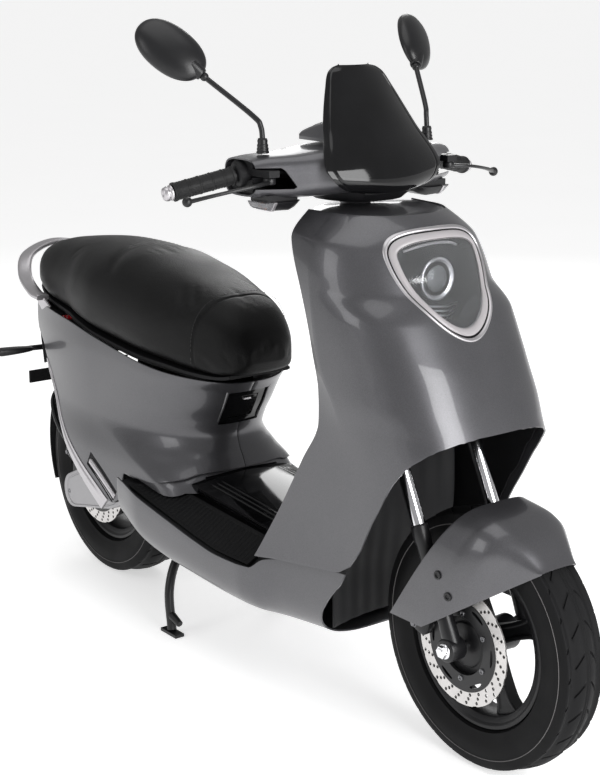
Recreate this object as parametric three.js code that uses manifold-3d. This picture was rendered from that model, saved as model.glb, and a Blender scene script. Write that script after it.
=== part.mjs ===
// Moped scooter: an electric step-through on 12-inch cast wheels.
// Millimetres, +Z up. The scooter faces -Y, so the rider's right hand is on the -X side.
import * as THREE from 'three';
import { mergeVertices } from 'three/addons/utils/BufferGeometryUtils.js';
import Module from 'manifold-3d';

const wasm = await Module();
wasm.setup();

// ---------------------------------------------------------------- driving dimensions

const FRONT_AXLE = { y: -640, z: 233.5 };
const REAR_AXLE = { y: 580, z: 236.5 };
const FRONT_TYRE = { radius: 233.5, halfWidth: 45 };
const REAR_TYRE = { radius: 236.5, halfWidth: 60 };
const RIM_SEAT_RADIUS = 150;
const FLANGE_HEIGHT = 7;
const BEAD_SHARE = 0.61;
const SPOKES = 4;
const SPOKE_PHASE = THREE.MathUtils.degToRad(63.5);
const RAKE = Math.atan(0.488);
const FORK_OFFSET = 35;
const FORK_HALF_SPACING = 88;
const GAP = 0.4;
const PANEL = 3;

const SWING_PIVOT = { y: 265, z: 238 };
const STAND_PIVOT = { y: 212, z: 198 };

// Points on the fork line and the steering axis at height z.
const forkY = (z) => FRONT_AXLE.y - 5 + (z - FRONT_AXLE.z) * Math.tan(RAKE);
const steerY = (z) => forkY(z) + FORK_OFFSET;

const PAINT = { color: 0x5f5e66, metalness: 0.6, roughness: 0.3 };
const BLACK = { color: 0x1c1c1e, metalness: 0.0, roughness: 0.6 };
const GLOSS = { color: 0x101012, metalness: 0.0, roughness: 0.15 };
const SILVER = { color: 0xa9a6ac, metalness: 0.7, roughness: 0.35 };
const CHROME = { color: 0xd8d8dc, metalness: 1.0, roughness: 0.12 };
const STEEL = { color: 0xb9b6b4, metalness: 0.9, roughness: 0.35 };
const RUBBER = { color: 0x191919, metalness: 0.0, roughness: 0.85 };
const VINYL = { color: 0x1e1e1f, metalness: 0.0, roughness: 0.55 };
const CLEAR = { color: 0xdfe4ea, metalness: 0.0, roughness: 0.08 };
const RED = { color: 0xa01218, metalness: 0.0, roughness: 0.2 };
const AMBER = { color: 0xc9863c, metalness: 0.0, roughness: 0.25 };

// ---------------------------------------------------------------- shape tools

const scooter = new THREE.Group();

function add(name, shape, look) {
  const mesh = new THREE.Mesh(shape, new THREE.MeshStandardMaterial(look));
  mesh.name = name;
  scooter.add(mesh);
}

const vec = (x, y, z) => new THREE.Vector3(x, y, z);
const lerp = THREE.MathUtils.lerp;

// A monotone cubic through [t, value] stations, held level past both ends.
function curve(stations) {
  const t = stations.map((s) => s[0]);
  const v = stations.map((s) => s[1]);
  const last = t.length - 1;
  const slope = t.slice(1).map((_, i) => (v[i + 1] - v[i]) / (t[i + 1] - t[i]));
  const tangent = t.map((_, i) => {
    if (i === 0) return slope[0];
    if (i === last) return slope[last - 1];
    const product = slope[i - 1] * slope[i];
    return product <= 0 ? 0 : (2 * product) / (slope[i - 1] + slope[i]);
  });
  return (at) => {
    if (at <= t[0]) return v[0];
    if (at >= t[last]) return v[last];
    let i = 0;
    while (at > t[i + 1]) i += 1;
    const h = t[i + 1] - t[i];
    const s = (at - t[i]) / h;
    const rise = v[i + 1] - v[i];
    const a = tangent[i] * h - rise;
    const b = rise - tangent[i + 1] * h;
    return v[i] + s * rise + s * (1 - s) * (a * (1 - s) + b * s);
  };
}

function geometryFrom(positions, triangles) {
  const geometry = new THREE.BufferGeometry();
  geometry.setAttribute('position', new THREE.Float32BufferAttribute(positions, 3));
  geometry.setIndex(triangles);
  return outward(geometry);
}

// Turns a closed mesh's faces so that they look outwards.
function outward(geometry) {
  const p = geometry.attributes.position;
  const index = geometry.index.array;
  const [a, b, c] = [vec(), vec(), vec()];
  let volume = 0;
  for (let i = 0; i < index.length; i += 3) {
    a.fromBufferAttribute(p, index[i]);
    b.fromBufferAttribute(p, index[i + 1]);
    c.fromBufferAttribute(p, index[i + 2]);
    volume += a.dot(b.cross(c));
  }
  if (volume < 0) {
    for (let i = 0; i < index.length; i += 3) {
      [index[i], index[i + 1]] = [index[i + 1], index[i]];
    }
  }
  return geometry;
}

// The bare closed surface: shared corners merged, faces outwards.
function closed(geometry) {
  const plain = geometry.clone();
  plain.deleteAttribute('normal');
  plain.deleteAttribute('uv');
  return outward(mergeVertices(plain, 1e-3));
}

function solid(geometry) {
  const merged = closed(geometry);
  return new wasm.Manifold(new wasm.Mesh({
    numProp: 3,
    vertProperties: new Float32Array(merged.attributes.position.array),
    triVerts: new Uint32Array(merged.index.array),
  }));
}

function shapeOf(manifold) {
  const mesh = manifold.getMesh();
  const geometry = new THREE.BufferGeometry();
  geometry.setAttribute('position', new THREE.Float32BufferAttribute(mesh.vertProperties, 3));
  geometry.setIndex(Array.from(mesh.triVerts));
  return geometry;
}

const join = (...shapes) => shapes.map(solid).reduce((all, next) => all.add(next));
const joined = (...shapes) => shapeOf(join(...shapes));
const cut = (shape, ...tools) => shapeOf(solid(shape).subtract(join(...tools)));

function box([x0, x1], [y0, y1], [z0, z1]) {
  const shape = new THREE.BoxGeometry(x1 - x0, y1 - y0, z1 - z0);
  shape.translate((x0 + x1) / 2, (y0 + y1) / 2, (z0 + z1) / 2);
  return shape;
}

// A round bar, or a cone when the two radii differ, from one point to another.
function bar(from, to, r0, r1 = r0, sides = 10) {
  const a = vec(...from);
  const b = vec(...to);
  const axis = b.clone().sub(a);
  const shape = new THREE.CylinderGeometry(r1, r0, axis.length(), sides);
  const turn = new THREE.Quaternion().setFromUnitVectors(vec(0, 1, 0), axis.normalize());
  shape.applyQuaternion(turn);
  shape.translate((a.x + b.x) / 2, (a.y + b.y) / 2, (a.z + b.z) / 2);
  return shape;
}

function ball([x, y, z], radii, segments = 8) {
  const shape = new THREE.SphereGeometry(1, segments, segments / 2);
  shape.scale(...radii);
  shape.translate(x, y, z);
  return shape;
}

// A tube of round section along a smooth path.
function tube(points, radius, steps = 24, sides = 10) {
  const path = new THREE.CatmullRomCurve3(points.map((p) => vec(...p)), false, 'centripetal');
  const rim = Array.from({ length: sides }, (_, i) => {
    const a = (2 * Math.PI * i) / sides;
    return new THREE.Vector2(radius * Math.cos(a), radius * Math.sin(a));
  });
  return new THREE.ExtrudeGeometry(new THREE.Shape(rim), {
    steps, bevelEnabled: false, extrudePath: path,
  });
}

// A closed skin through equal loops of points, capped at both ends.
function loft(loops) {
  const positions = [];
  const triangles = [];
  const n = loops[0].length;
  loops.forEach((loop) => loop.forEach((p) => positions.push(p.x, p.y, p.z)));
  for (let i = 0; i < loops.length - 1; i += 1) {
    for (let j = 0; j < n; j += 1) {
      const a = i * n + j;
      const b = i * n + ((j + 1) % n);
      triangles.push(a, b, b + n, a, b + n, a + n);
    }
  }
  [0, loops.length - 1].forEach((end) => {
    const centre = loops[end].reduce((sum, p) => sum.add(p), vec(0, 0, 0)).divideScalar(n);
    const c = positions.length / 3;
    positions.push(centre.x, centre.y, centre.z);
    for (let j = 0; j < n; j += 1) {
      const a = end * n + j;
      const b = end * n + ((j + 1) % n);
      if (end === 0) triangles.push(c, b, a);
      else triangles.push(c, a, b);
    }
  });
  return geometryFrom(positions, triangles);
}

// A flat bar of rectangular or oval section along a path; up sets which way its width lies.
function strip(points, width, thickness, up, steps = 20, sides = 8) {
  const path = new THREE.CatmullRomCurve3(points.map((p) => vec(...p)), false, 'centripetal');
  const loops = [];
  for (let i = 0; i <= steps; i += 1) {
    const along = path.getTangentAt(i / steps);
    const across = up.clone().cross(along).normalize();
    const rise = along.clone().cross(across);
    const centre = path.getPointAt(i / steps);
    loops.push(Array.from({ length: sides }, (_, k) => {
      const a = (2 * Math.PI * (k + 0.5)) / sides;
      return centre.clone()
        .addScaledVector(across, (thickness / 2) * power(Math.cos(a), 0.6))
        .addScaledVector(rise, (width / 2) * power(Math.sin(a), 0.6));
    }));
  }
  return loft(loops);
}

const power = (value, exponent) => Math.sign(value) * Math.abs(value) ** exponent;

// A panel: surface(u, v) is its outer face, and it is thickened inwards.
function panel(surface, uSteps, vSteps, thickness) {
  const size = (uSteps + 1) * (vSteps + 1);
  const outer = [];
  const inner = [];
  const small = 1e-3;
  for (let i = 0; i <= uSteps; i += 1) {
    for (let j = 0; j <= vSteps; j += 1) {
      const [u, v] = [i / uSteps, j / vSteps];
      const [u0, u1] = [Math.max(0, u - small), Math.min(1, u + small)];
      const [v0, v1] = [Math.max(0, v - small), Math.min(1, v + small)];
      const p = surface(u, v);
      const du = surface(u1, v).sub(surface(u0, v));
      const dv = surface(u, v1).sub(surface(u, v0));
      const normal = du.cross(dv).normalize();
      outer.push(p.x, p.y, p.z);
      p.addScaledVector(normal, -thickness);
      inner.push(p.x, p.y, p.z);
    }
  }
  const triangles = [];
  const quad = (a, b, c, d) => triangles.push(a, b, c, a, c, d);
  const at = (i, j, side) => side * size + i * (vSteps + 1) + j;
  for (let i = 0; i < uSteps; i += 1) {
    for (let j = 0; j < vSteps; j += 1) {
      quad(at(i, j, 0), at(i + 1, j, 0), at(i + 1, j + 1, 0), at(i, j + 1, 0));
      quad(at(i, j, 1), at(i, j + 1, 1), at(i + 1, j + 1, 1), at(i + 1, j, 1));
    }
    quad(at(i, 0, 1), at(i + 1, 0, 1), at(i + 1, 0, 0), at(i, 0, 0));
    quad(at(i, vSteps, 0), at(i + 1, vSteps, 0), at(i + 1, vSteps, 1), at(i, vSteps, 1));
  }
  for (let j = 0; j < vSteps; j += 1) {
    quad(at(0, j, 0), at(0, j + 1, 0), at(0, j + 1, 1), at(0, j, 1));
    quad(at(uSteps, j, 1), at(uSteps, j + 1, 1), at(uSteps, j + 1, 0), at(uSteps, j, 0));
  }
  return geometryFrom([...outer, ...inner], triangles);
}

// A flat plate whose outline is drawn in side view, as [y, z], between two x values.
function sidePlate(outline, [x0, x1]) {
  const shape = new THREE.Shape(outline.map(([y, z]) => new THREE.Vector2(y, z)));
  const plate = new THREE.ExtrudeGeometry(shape, { depth: x1 - x0, bevelEnabled: false });
  plate.applyMatrix4(new THREE.Matrix4().makeBasis(vec(0, 1, 0), vec(0, 0, 1), vec(1, 0, 0)));
  plate.translate(x0, 0, 0);
  return plate;
}

// A body of revolution about an axle along X; the profile is [radius, x] and closes on itself.
function turned(profile, axle, segments = 32) {
  const points = profile.map(([r, x]) => new THREE.Vector2(r, x));
  const shape = new THREE.LatheGeometry([...points, points[0].clone()], segments);
  shape.rotateZ(-Math.PI / 2);
  shape.translate(0, axle.y, axle.z);
  return closed(shape);
}

// The same piece on the other side of the scooter.
function mirrored(shape) {
  const copy = closed(shape);
  copy.scale(-1, 1, 1);
  return outward(copy);
}

function addPair(name, shape, look) {
  add(`${name}_right`, shape, look);
  add(`${name}_left`, mirrored(shape), look);
}

const flip = ([x, y, z]) => [-x, y, z];
const bothEnds = (points) => [...points, ...points.slice(0, -1).reverse().map(flip)];

// ---------------------------------------------------------------- wheels

function tyreShape({ radius, halfWidth }, axle) {
  const bead = RIM_SEAT_RADIUS + GAP;
  const half = [
    [bead, BEAD_SHARE], [bead + FLANGE_HEIGHT + 1, BEAD_SHARE], [bead + FLANGE_HEIGHT + 4, 0.84],
    [lerp(bead, radius, 0.5), 1], [lerp(bead, radius, 0.78), 0.9],
    [radius * 0.95, 0.6], [radius, 0],
  ];
  const outer = half.map(([r, k]) => [r, k * halfWidth]);
  const inside = [[radius - 12, 0], [radius - 26, 0.5], [lerp(bead, radius, 0.5), 0.82], [bead, 0.4]];
  const inner = inside.map(([r, k]) => [r, k * halfWidth]);
  const mirrorX = (list) => list.map(([r, x]) => [r, -x]);
  return turned([
    ...outer, ...mirrorX(outer.slice(0, -1)).reverse(),
    ...mirrorX(inner.slice(1)).reverse(), ...inner,
  ], axle, 20);
}

function rimShape(tyre, axle, hub) {
  const seat = RIM_SEAT_RADIUS;
  const lip = seat + FLANGE_HEIGHT;
  const inside = BEAD_SHARE * tyre.halfWidth + 0.6;
  const edge = inside + 5;
  const well = inside * 0.45;
  const barrel = turned([
    [lip, edge], [lip, inside], [seat, inside], [seat - 10, well],
    [seat - 10, -well], [seat, -inside], [lip, -inside], [lip, -edge],
    [seat - 4, -edge], [seat - 17, -well], [seat - 17, well], [seat - 4, edge],
  ], axle, 20);
  const spokes = Array.from({ length: SPOKES }, (_, i) => {
    const spoke = box([-13, 13], [-19, 19], [hub.radius - 8, seat - 12]);
    spoke.rotateX((2 * Math.PI * i) / SPOKES + SPOKE_PHASE);
    spoke.translate(0, axle.y, axle.z);
    return spoke;
  });
  const core = turned([
    [hub.bore, hub.left], [hub.radius, hub.left], [hub.radius, -hub.right], [hub.carrier, -hub.right],
    [hub.carrier, -hub.right - 14], [hub.bore, -hub.right - 14],
  ], axle, 16);
  return joined(barrel, core, ...spokes);
}

function discShape(axle, x, inner, outer) {
  const disc = turned([[inner, x - 2], [outer, x - 2], [outer, x + 2], [inner, x + 2]], axle, 24);
  const holes = Array.from({ length: 6 }, (_, i) => {
    const a = (2 * Math.PI * i) / 6;
    const r = lerp(inner, outer, i % 2 ? 0.35 : 0.65);
    const [y, z] = [axle.y + r * Math.cos(a), axle.z + r * Math.sin(a)];
    return bar([x - 4, y, z], [x + 4, y, z], 4, 4, 4);
  });
  return cut(disc, ...holes);
}

const FRONT_HUB = { bore: 8.5, radius: 32, carrier: 64, left: 50, right: 44 };
const REAR_HUB = { bore: 9.5, radius: 104, carrier: 60, left: 62, right: 52 };
const FRONT_DISC_X = -63;
const REAR_DISC_X = -71;

function frontWheel() {
  add('front_tyre', tyreShape(FRONT_TYRE, FRONT_AXLE), RUBBER);
  add('front_rim', rimShape(FRONT_TYRE, FRONT_AXLE, FRONT_HUB), BLACK);
  add('front_disc', discShape(FRONT_AXLE, FRONT_DISC_X, 62, 108), STEEL);
}

function rearWheel() {
  add('rear_tyre', tyreShape(REAR_TYRE, REAR_AXLE), RUBBER);
  add('rear_rim', rimShape(REAR_TYRE, REAR_AXLE, REAR_HUB), BLACK);
  add('rear_disc', discShape(REAR_AXLE, REAR_DISC_X, 62, 113), STEEL);
}

// ---------------------------------------------------------------- fork and front fender

const onFork = (x, z, back = 0) => [x, forkY(z) + back, z];
const LEG_RADIUS = 15.5;
const STANCHION_RADIUS = 12.5;

const LEG_TOP = 432;
const AXLE_RADIUS = 7.6;

// The slider tube on the rider's right, with its axle clamp and fender lug.
function forkSlider() {
  const leg = bar(onFork(-FORK_HALF_SPACING, 225), onFork(-FORK_HALF_SPACING, LEG_TOP), LEG_RADIUS);
  const bore = bar(onFork(-FORK_HALF_SPACING, 266), onFork(-FORK_HALF_SPACING, LEG_TOP + 20),
    STANCHION_RADIUS + 0.8);
  const clamp = bar([-106, FRONT_AXLE.y, FRONT_AXLE.z], [-71, FRONT_AXLE.y, FRONT_AXLE.z], 21);
  const lug = bar([-100, -622, 350], [-88, -596, 350], 8);
  return cut(joined(leg, clamp, lug), bore);
}

// The right slider also carries the wheel axle and its nut.
function forkLegRight() {
  const axle = bar([-118, FRONT_AXLE.y, FRONT_AXLE.z], [69, FRONT_AXLE.y, FRONT_AXLE.z], AXLE_RADIUS);
  const nut = bar([-116, FRONT_AXLE.y, FRONT_AXLE.z], [-105, FRONT_AXLE.y, FRONT_AXLE.z], 12, 12, 6);
  return joined(forkSlider(), axle, nut);
}

function stanchion() {
  return bar(onFork(-FORK_HALF_SPACING, 335), onFork(-FORK_HALF_SPACING, 572), STANCHION_RADIUS);
}

function caliper(axle, x, angle, reach) {
  const block = box([x - 17, x + 15], [reach - 26, reach + 24], [-34, 34]);
  const slot = box([x - 3.5, x + 3.5], [reach - 40, reach + 17], [-50, 50]);
  const shape = cut(block, slot);
  shape.rotateX(angle);
  shape.translate(0, axle.y, axle.z);
  return shape;
}

// Front fender, as sections that run from the crown line down to the lower edge.
const FENDER_CROWN = [[0, -800, 409], [0.3, -758, 449], [0.7, -699, 477], [1, -650, 484]];
const FENDER_EDGE = [[0, -796, 403], [0.75, -587, 262], [1, -505, 263]];
const FENDER_WIDTH = [[0, 40], [0.25, 74], [0.5, 106], [0.7, 113], [1, 114]];
const fenderCrownY = curve(FENDER_CROWN.map(([t, y]) => [t, y]));
const fenderCrownZ = curve(FENDER_CROWN.map(([t, , z]) => [t, z]));
const fenderEdgeY = curve(FENDER_EDGE.map(([t, y]) => [t, y]));
const fenderEdgeZ = (t) => lerp(403, 262, Math.min(1, t / 0.75));
const fenderWidth = curve(FENDER_WIDTH);

function fenderSurface(u, v) {
  const a = (u - 0.5) * Math.PI;
  const drop = 1 - Math.abs(Math.cos(a)) ** 0.6;
  const x = power(Math.sin(a), 0.5) * fenderWidth(v);
  const z = lerp(fenderCrownZ(v), fenderEdgeZ(v), drop);
  return vec(x, lerp(fenderCrownY(v), fenderEdgeY(v), drop), z);
}

function frontEnd() {
  add('fork_leg_right', forkLegRight(), BLACK);
  add('fork_leg_left', mirrored(forkSlider()), BLACK);
  addPair('stanchion', stanchion(), CHROME);
  add('front_fender', panel(fenderSurface, 14, 6, PANEL), PAINT);
  add('front_caliper', caliper(FRONT_AXLE, FRONT_DISC_X, 0.3, 98), BLACK);
}

// ---------------------------------------------------------------- steering group

function steeringStem() {
  const column = bar([0, steerY(590), 590], [0, steerY(975), 975], 15.5);
  const yoke = box([-108, 108], [-FORK_OFFSET - 20, 22], [-13, 13]);
  yoke.rotateX(-RAKE);
  yoke.translate(0, steerY(586), 586);
  return joined(column, yoke);
}

const GRIP_INNER = [-229, -204, 1010];
const GRIP_OUTER = [-340, -177, 986];

function handlebar() {
  const half = [GRIP_INNER, [-205, -211, 1014], [-150, -232, 1014], [-70, -246, 1000], [0, -247, 996]];
  const middle = tube(bothEnds(half), 10.8, 12, 8);
  const end = bar(GRIP_INNER, GRIP_OUTER, 10.8, 10.8, 8);
  const along = vec(...GRIP_OUTER).sub(vec(...GRIP_INNER)).normalize();
  const tip = vec(...GRIP_OUTER).addScaledVector(along, 17);
  const weight = bar(GRIP_OUTER, tip.toArray(), 14, 11);
  const perch = box([-216, -194], [-292, -204], [1012, 1024]);
  const clamp = bar([0, steerY(990), 990], [0, steerY(1008), 1008], 20);
  return joined(middle, end, mirrored(end), weight, mirrored(weight), perch, mirrored(perch), clamp);
}

function grip(inset) {
  const a = vec(...GRIP_INNER);
  const b = vec(...GRIP_OUTER);
  const along = b.clone().sub(a).normalize();
  const start = a.clone().addScaledVector(along, inset);
  const end = b.clone().addScaledVector(along, -1.2);
  const sleeve = bar(start.toArray(), end.toArray(), 17, 17, 16);
  const before = start.clone().addScaledVector(along, -5);
  const after = end.clone().addScaledVector(along, 5);
  return cut(sleeve, bar(before.toArray(), after.toArray(), 11.9, 11.9, 16));
}

function brakeLever() {
  const blade = strip([[-207, -282, 1004], [-250, -293, 1001], [-310, -274, 990], [-352, -250, 979]],
    11, 8, vec(0, 0, 1), 6);
  const knob = ball([-355, -247, 978.5], [9, 9, 9]);
  const eye = bar([-207, -280, 1000], [-207, -280, 1011], 11, 11, 12);
  return joined(blade, knob, eye);
}

// The bar cowl is a hollow sleeve along X that flares towards the middle.
const COWL_END = 223;
const cowlFront = curve([[0, -352], [70, -345], [130, -312], [180, -284], [COWL_END, -262]]);
const cowlRear = curve([[0, -182], [70, -184], [130, -182], [180, -176], [COWL_END, -170]]);
const cowlTop = curve([[0, 1062], [80, 1056], [150, 1046], [200, 1042], [COWL_END, 1038]]);
const cowlBase = curve([[0, 979], [80, 978], [150, 974], [200, 975], [COWL_END, 978]]);

function cowlLoop(x, inset) {
  const at = Math.abs(x);
  const [front, rear] = [cowlFront(at) + inset, cowlRear(at) - inset];
  const [base, top] = [cowlBase(at) + inset, cowlTop(at) - inset];
  return Array.from({ length: 12 }, (_, k) => {
    const a = (2 * Math.PI * (k + 0.5)) / 12;
    const y = lerp(front, rear, 0.5 + 0.5 * power(Math.cos(a), 0.55));
    const z = lerp(base, top, 0.5 + 0.5 * power(Math.sin(a), 0.55));
    return vec(x, y, z);
  });
}

function handlebarCowl() {
  const stations = [-1, -0.8, -0.55, -0.3, 0, 0.3, 0.55, 0.8, 1];
  const skin = loft(stations.map((s) => cowlLoop(s * COWL_END, 0)));
  const hollow = loft(stations.map((s) => cowlLoop(s * (COWL_END + 4), PANEL)));
  const leverWindow = box([-262, -170], [-340, -244], [990, 1027]);
  const stemHole = bar([0, steerY(930), 930], [0, steerY(1004), 1004], 45);
  return cut(skin, hollow, leverWindow, mirrored(leverWindow), stemHole);
}

// The screen bulges forwards across its width.
const SCREEN = { bottom: 979, top: 1195 };
const screenHalf = curve([[977, 84], [984, 116], [1004, 131], [1090, 105], [1160, 74], [1182, 62],
  [1191, 50], [1195, 36]]);
const screenY = curve([[972, -367], [1000, -374], [1090, -333], [1195, -262]]);
const screenSag = curve([[972, 22], [1090, 34], [1195, 12]]);

function screenSurface(u, v) {
  const z = lerp(SCREEN.bottom, SCREEN.top, v);
  const k = u * 2 - 1;
  return vec(k * screenHalf(z), screenY(z) + screenSag(z) * k * k, z);
}

function dashPod() {
  const loops = [[-82, 8], [-60, 0], [0, -6], [60, 0], [82, 8]].map(([x, shrink]) => [
    vec(x, -312 + shrink, 1068), vec(x, -304 + shrink, 1092 - shrink), vec(x, -262, 1100 - shrink),
    vec(x, -196 - shrink, 1082 - shrink), vec(x, -190 - shrink, 1068),
  ]);
  return loft(loops);
}

const MIRROR_BASE = [-190, -237, 1048.5];
const MIRROR_JOINT = [-245, -140, 1177];
const MIRROR_REACH = vec(-40, 56, 50).normalize();
const MIRROR_NORMAL = vec(0.41, 0.75, -0.52);
const MIRROR_HALF_LENGTH = 71;

function mirrorStem() {
  const rod = tube([[-190, -237, 1062], [-191, -233, 1094], [-200, -219, 1114], MIRROR_JOINT], 4.8, 7, 6);
  const boot = bar(MIRROR_BASE, [-190, -236, 1075], 11.5, 8.5);
  const knuckle = ball(MIRROR_JOINT, [8, 8, 8]);
  return joined(rod, boot, knuckle);
}

// The head is a flattened teardrop on a ball joint, with its flat glass towards the rider.
function mirrorHead() {
  const joint = vec(...MIRROR_JOINT);
  const across = MIRROR_REACH.clone().cross(MIRROR_NORMAL).normalize();
  const normal = across.clone().cross(MIRROR_REACH);
  const teardrop = new THREE.SphereGeometry(1, 12, 8);
  teardrop.scale(MIRROR_HALF_LENGTH, 25, 45);
  const glassSide = box([-90, 90], [7, 40], [-70, 70]);
  const shape = shapeOf(solid(teardrop).subtract(solid(glassSide)));
  shape.applyMatrix4(new THREE.Matrix4().makeBasis(MIRROR_REACH, normal, across));
  shape.translate(...joint.clone().addScaledVector(MIRROR_REACH, MIRROR_HALF_LENGTH + 6).toArray());
  const root = joint.clone().addScaledVector(MIRROR_REACH, 26).addScaledVector(normal, -4);
  const neck = bar(joint.toArray(), root.toArray(), 13, 19, 12);
  return shapeOf(join(shape, neck).subtract(solid(ball(MIRROR_JOINT, [9, 9, 9], 10))));
}

function frontIndicator() {
  const outline = (x, inset) => [
    vec(x, -284 + inset, 968), vec(x, -214 - inset, 968),
    vec(x, -224 - inset, 950 + inset), vec(x, -272 + inset, 950 + inset),
  ];
  return loft([outline(-216, 9), outline(-200, 1), outline(-160, 0), outline(-136, 9)]);
}

function steeringGroup() {
  add('steering_stem', steeringStem(), BLACK);
  add('handlebar', handlebar(), BLACK);
  add('grip_left', mirrored(grip(2)), RUBBER);
  add('throttle_grip', grip(2), RUBBER);
  addPair('brake_lever', brakeLever(), BLACK);
  add('handlebar_cowl', handlebarCowl(), PAINT);
  add('windscreen', panel(screenSurface, 8, 8, PANEL), GLOSS);
  add('dash_pod', dashPod(), GLOSS);
  addPair('mirror_stem', mirrorStem(), BLACK);
  addPair('mirror_head', mirrorHead(), BLACK);
  addPair('turn_front', frontIndicator(), AMBER);
}

// ---------------------------------------------------------------- front body

const SHIELD_TOP = 950;
const noseY = curve([[285, -770], [400, -737], [513, -694], [603, -652], [620, -645], [700, -607],
  [750, -578], [820, -537], [929, -475], [968, -410]]);
const creaseY = curve([[285, -420], [424, -465], [513, -470], [634, -427], [700, -385], [775, -370],
  [886, -347], [968, -330]]);
const shieldHalf = curve([[285, 172], [364, 169], [424, 170], [513, 172], [600, 178], [650, 183],
  [750, 185], [850, 180], [900, 168], [940, 126], [968, 92]]);
const shieldPower = curve([[600, 3], [780, 3], [830, 2.1], [968, 2]]);
const shieldRearY = curve([[285, -198], [337, -228], [424, -279], [513, -331], [592, -376], [650, -378],
  [718, -364], [820, -330], [905, -290], [968, -272]]);
const shieldRearHalf = curve([[285, 194], [337, 186], [424, 178], [592, 174], [718, 179], [820, 178],
  [905, 168], [968, 96]]);
const seamZ = curve([[-440, 328], [-377, 320], [-318, 312], [-263, 305], [-200, 294]]);
const ARCH = [[-470, 100], [-359, 178], [-476, 364], [-508, 424], [-525, 451], [-544, 482],
  [-562, 513], [-590, 550], [-607, 567], [-652, 603], [-720, 640], [-960, 640], [-960, 100]];

// One horizontal section of the shield: a rounded nose, then a straight flank to the rear edge.
function shieldPoint(side, z) {
  const k = Math.abs(side);
  const [nose, crease, half] = [noseY(z), creaseY(z), shieldHalf(z)];
  if (k <= 0.72) {
    const a = (k / 0.72) * (Math.PI / 2);
    const e = 2 / shieldPower(z);
    return [Math.sign(side) * half * Math.sin(a) ** e, crease + (nose - crease) * Math.cos(a) ** e];
  }
  const t = (k - 0.72) / 0.28;
  return [Math.sign(side) * lerp(half, shieldRearHalf(z), t), lerp(crease, shieldRearY(z), t)];
}

function shieldSurface(u, v) {
  const side = u * 2 - 1;
  const rowAt = (low) => lerp(low, SHIELD_TOP, v);
  const low = seamZ(shieldPoint(side, 310)[1]);
  const z = rowAt(low);
  const [x, y] = shieldPoint(side, z);
  return vec(x, y, z);
}

// The headlight is a rounded triangle on the nose.
const LAMP = { top: 930, bottom: 750, shoulder: 893, half: 106 };

function lampOutline(grow) {
  const outline = new THREE.Shape();
  const [top, bottom] = [LAMP.top + grow, LAMP.bottom - grow];
  const half = LAMP.half + grow;
  outline.moveTo(0, top);
  outline.bezierCurveTo(-half * 0.55, top, -half, top - 6, -half, LAMP.shoulder - 8);
  outline.bezierCurveTo(-half, LAMP.shoulder - 50, -half * 0.38, bottom, 0, bottom);
  outline.bezierCurveTo(half * 0.38, bottom, half, LAMP.shoulder - 50, half, LAMP.shoulder - 8);
  outline.bezierCurveTo(half, top - 6, half * 0.55, top, 0, top);
  return outline;
}

function lampPrism(grow, yFront, yRear) {
  const prism = new THREE.ExtrudeGeometry(lampOutline(grow), {
    depth: yRear - yFront, bevelEnabled: false, curveSegments: 4,
  });
  prism.applyMatrix4(new THREE.Matrix4().makeBasis(vec(1, 0, 0), vec(0, 0, 1), vec(0, -1, 0)));
  prism.translate(0, yRear, 0);
  return prism;
}

// A slice of the nose, between two depths below its skin, as a closed body.
function noseSlice(outset, depth) {
  const surface = (u, v) => {
    const z = lerp(LAMP.bottom - 30, 952, v);
    const [x, y] = shieldPoint((u * 2 - 1) * 0.66, z);
    const scale = 1 + outset / 150;
    return vec(x * scale, y - outset, z);
  };
  return panel(surface, 10, 6, depth);
}

function frontShield() {
  const skin = solid(panel(shieldSurface, 18, 8, PANEL));
  const arch = solid(sidePlate(ARCH, [-260, 260]));
  const lamp = solid(lampPrism(GAP, -700, -380));
  return shapeOf(skin.subtract(arch).subtract(lamp));
}

function headlightBezel() {
  const ring = solid(lampPrism(0, -700, -380)).subtract(solid(lampPrism(-15, -710, -370)));
  const front = ring.intersect(solid(noseSlice(2, 26)));
  const bucket = solid(lampPrism(-3, -452, -440));
  const wall = solid(lampPrism(-3, -560, -440)).subtract(solid(lampPrism(-8, -620, -452)));
  const inside = solid(noseSlice(-10, 200));
  return shapeOf(front.add(wall.add(bucket).intersect(inside)));
}

function headlightLens() {
  const disc = solid(lampPrism(-15 - GAP, -700, -380));
  return shapeOf(disc.intersect(solid(noseSlice(0, 3))));
}

function legShield() {
  const bulge = curve([[285, 24], [345, 62], [450, 90], [600, 94], [750, 82], [956, 70]]);
  const surface = (u, v) => {
    const k = 1 - u * 2;
    const z = lerp(346 - 54 * Math.abs(k) ** 6, 946, v);
    const half = shieldRearHalf(z) - 9;
    return vec(k * half, shieldRearY(z) - 3 + bulge(z) * (1 - k * k), z);
  };
  const stemHole = bar([0, steerY(900), 900], [0, steerY(1000), 1000], 26);
  return cut(panel(surface, 10, 8, PANEL), stemHole);
}

function wheelWell() {
  const backY = curve([[182, -352], [260, -352], [400, -364], [500, -358], [600, -350]]);
  const surface = (u, v) => {
    const z = lerp(194, 560, v);
    const k = u * 2 - 1;
    const half = lerp(136, 148, v);
    return vec(k * half, backY(z) - 22 * k * k, z);
  };
  return panel(surface, 8, 6, PANEL);
}

// ---------------------------------------------------------------- floor

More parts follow.
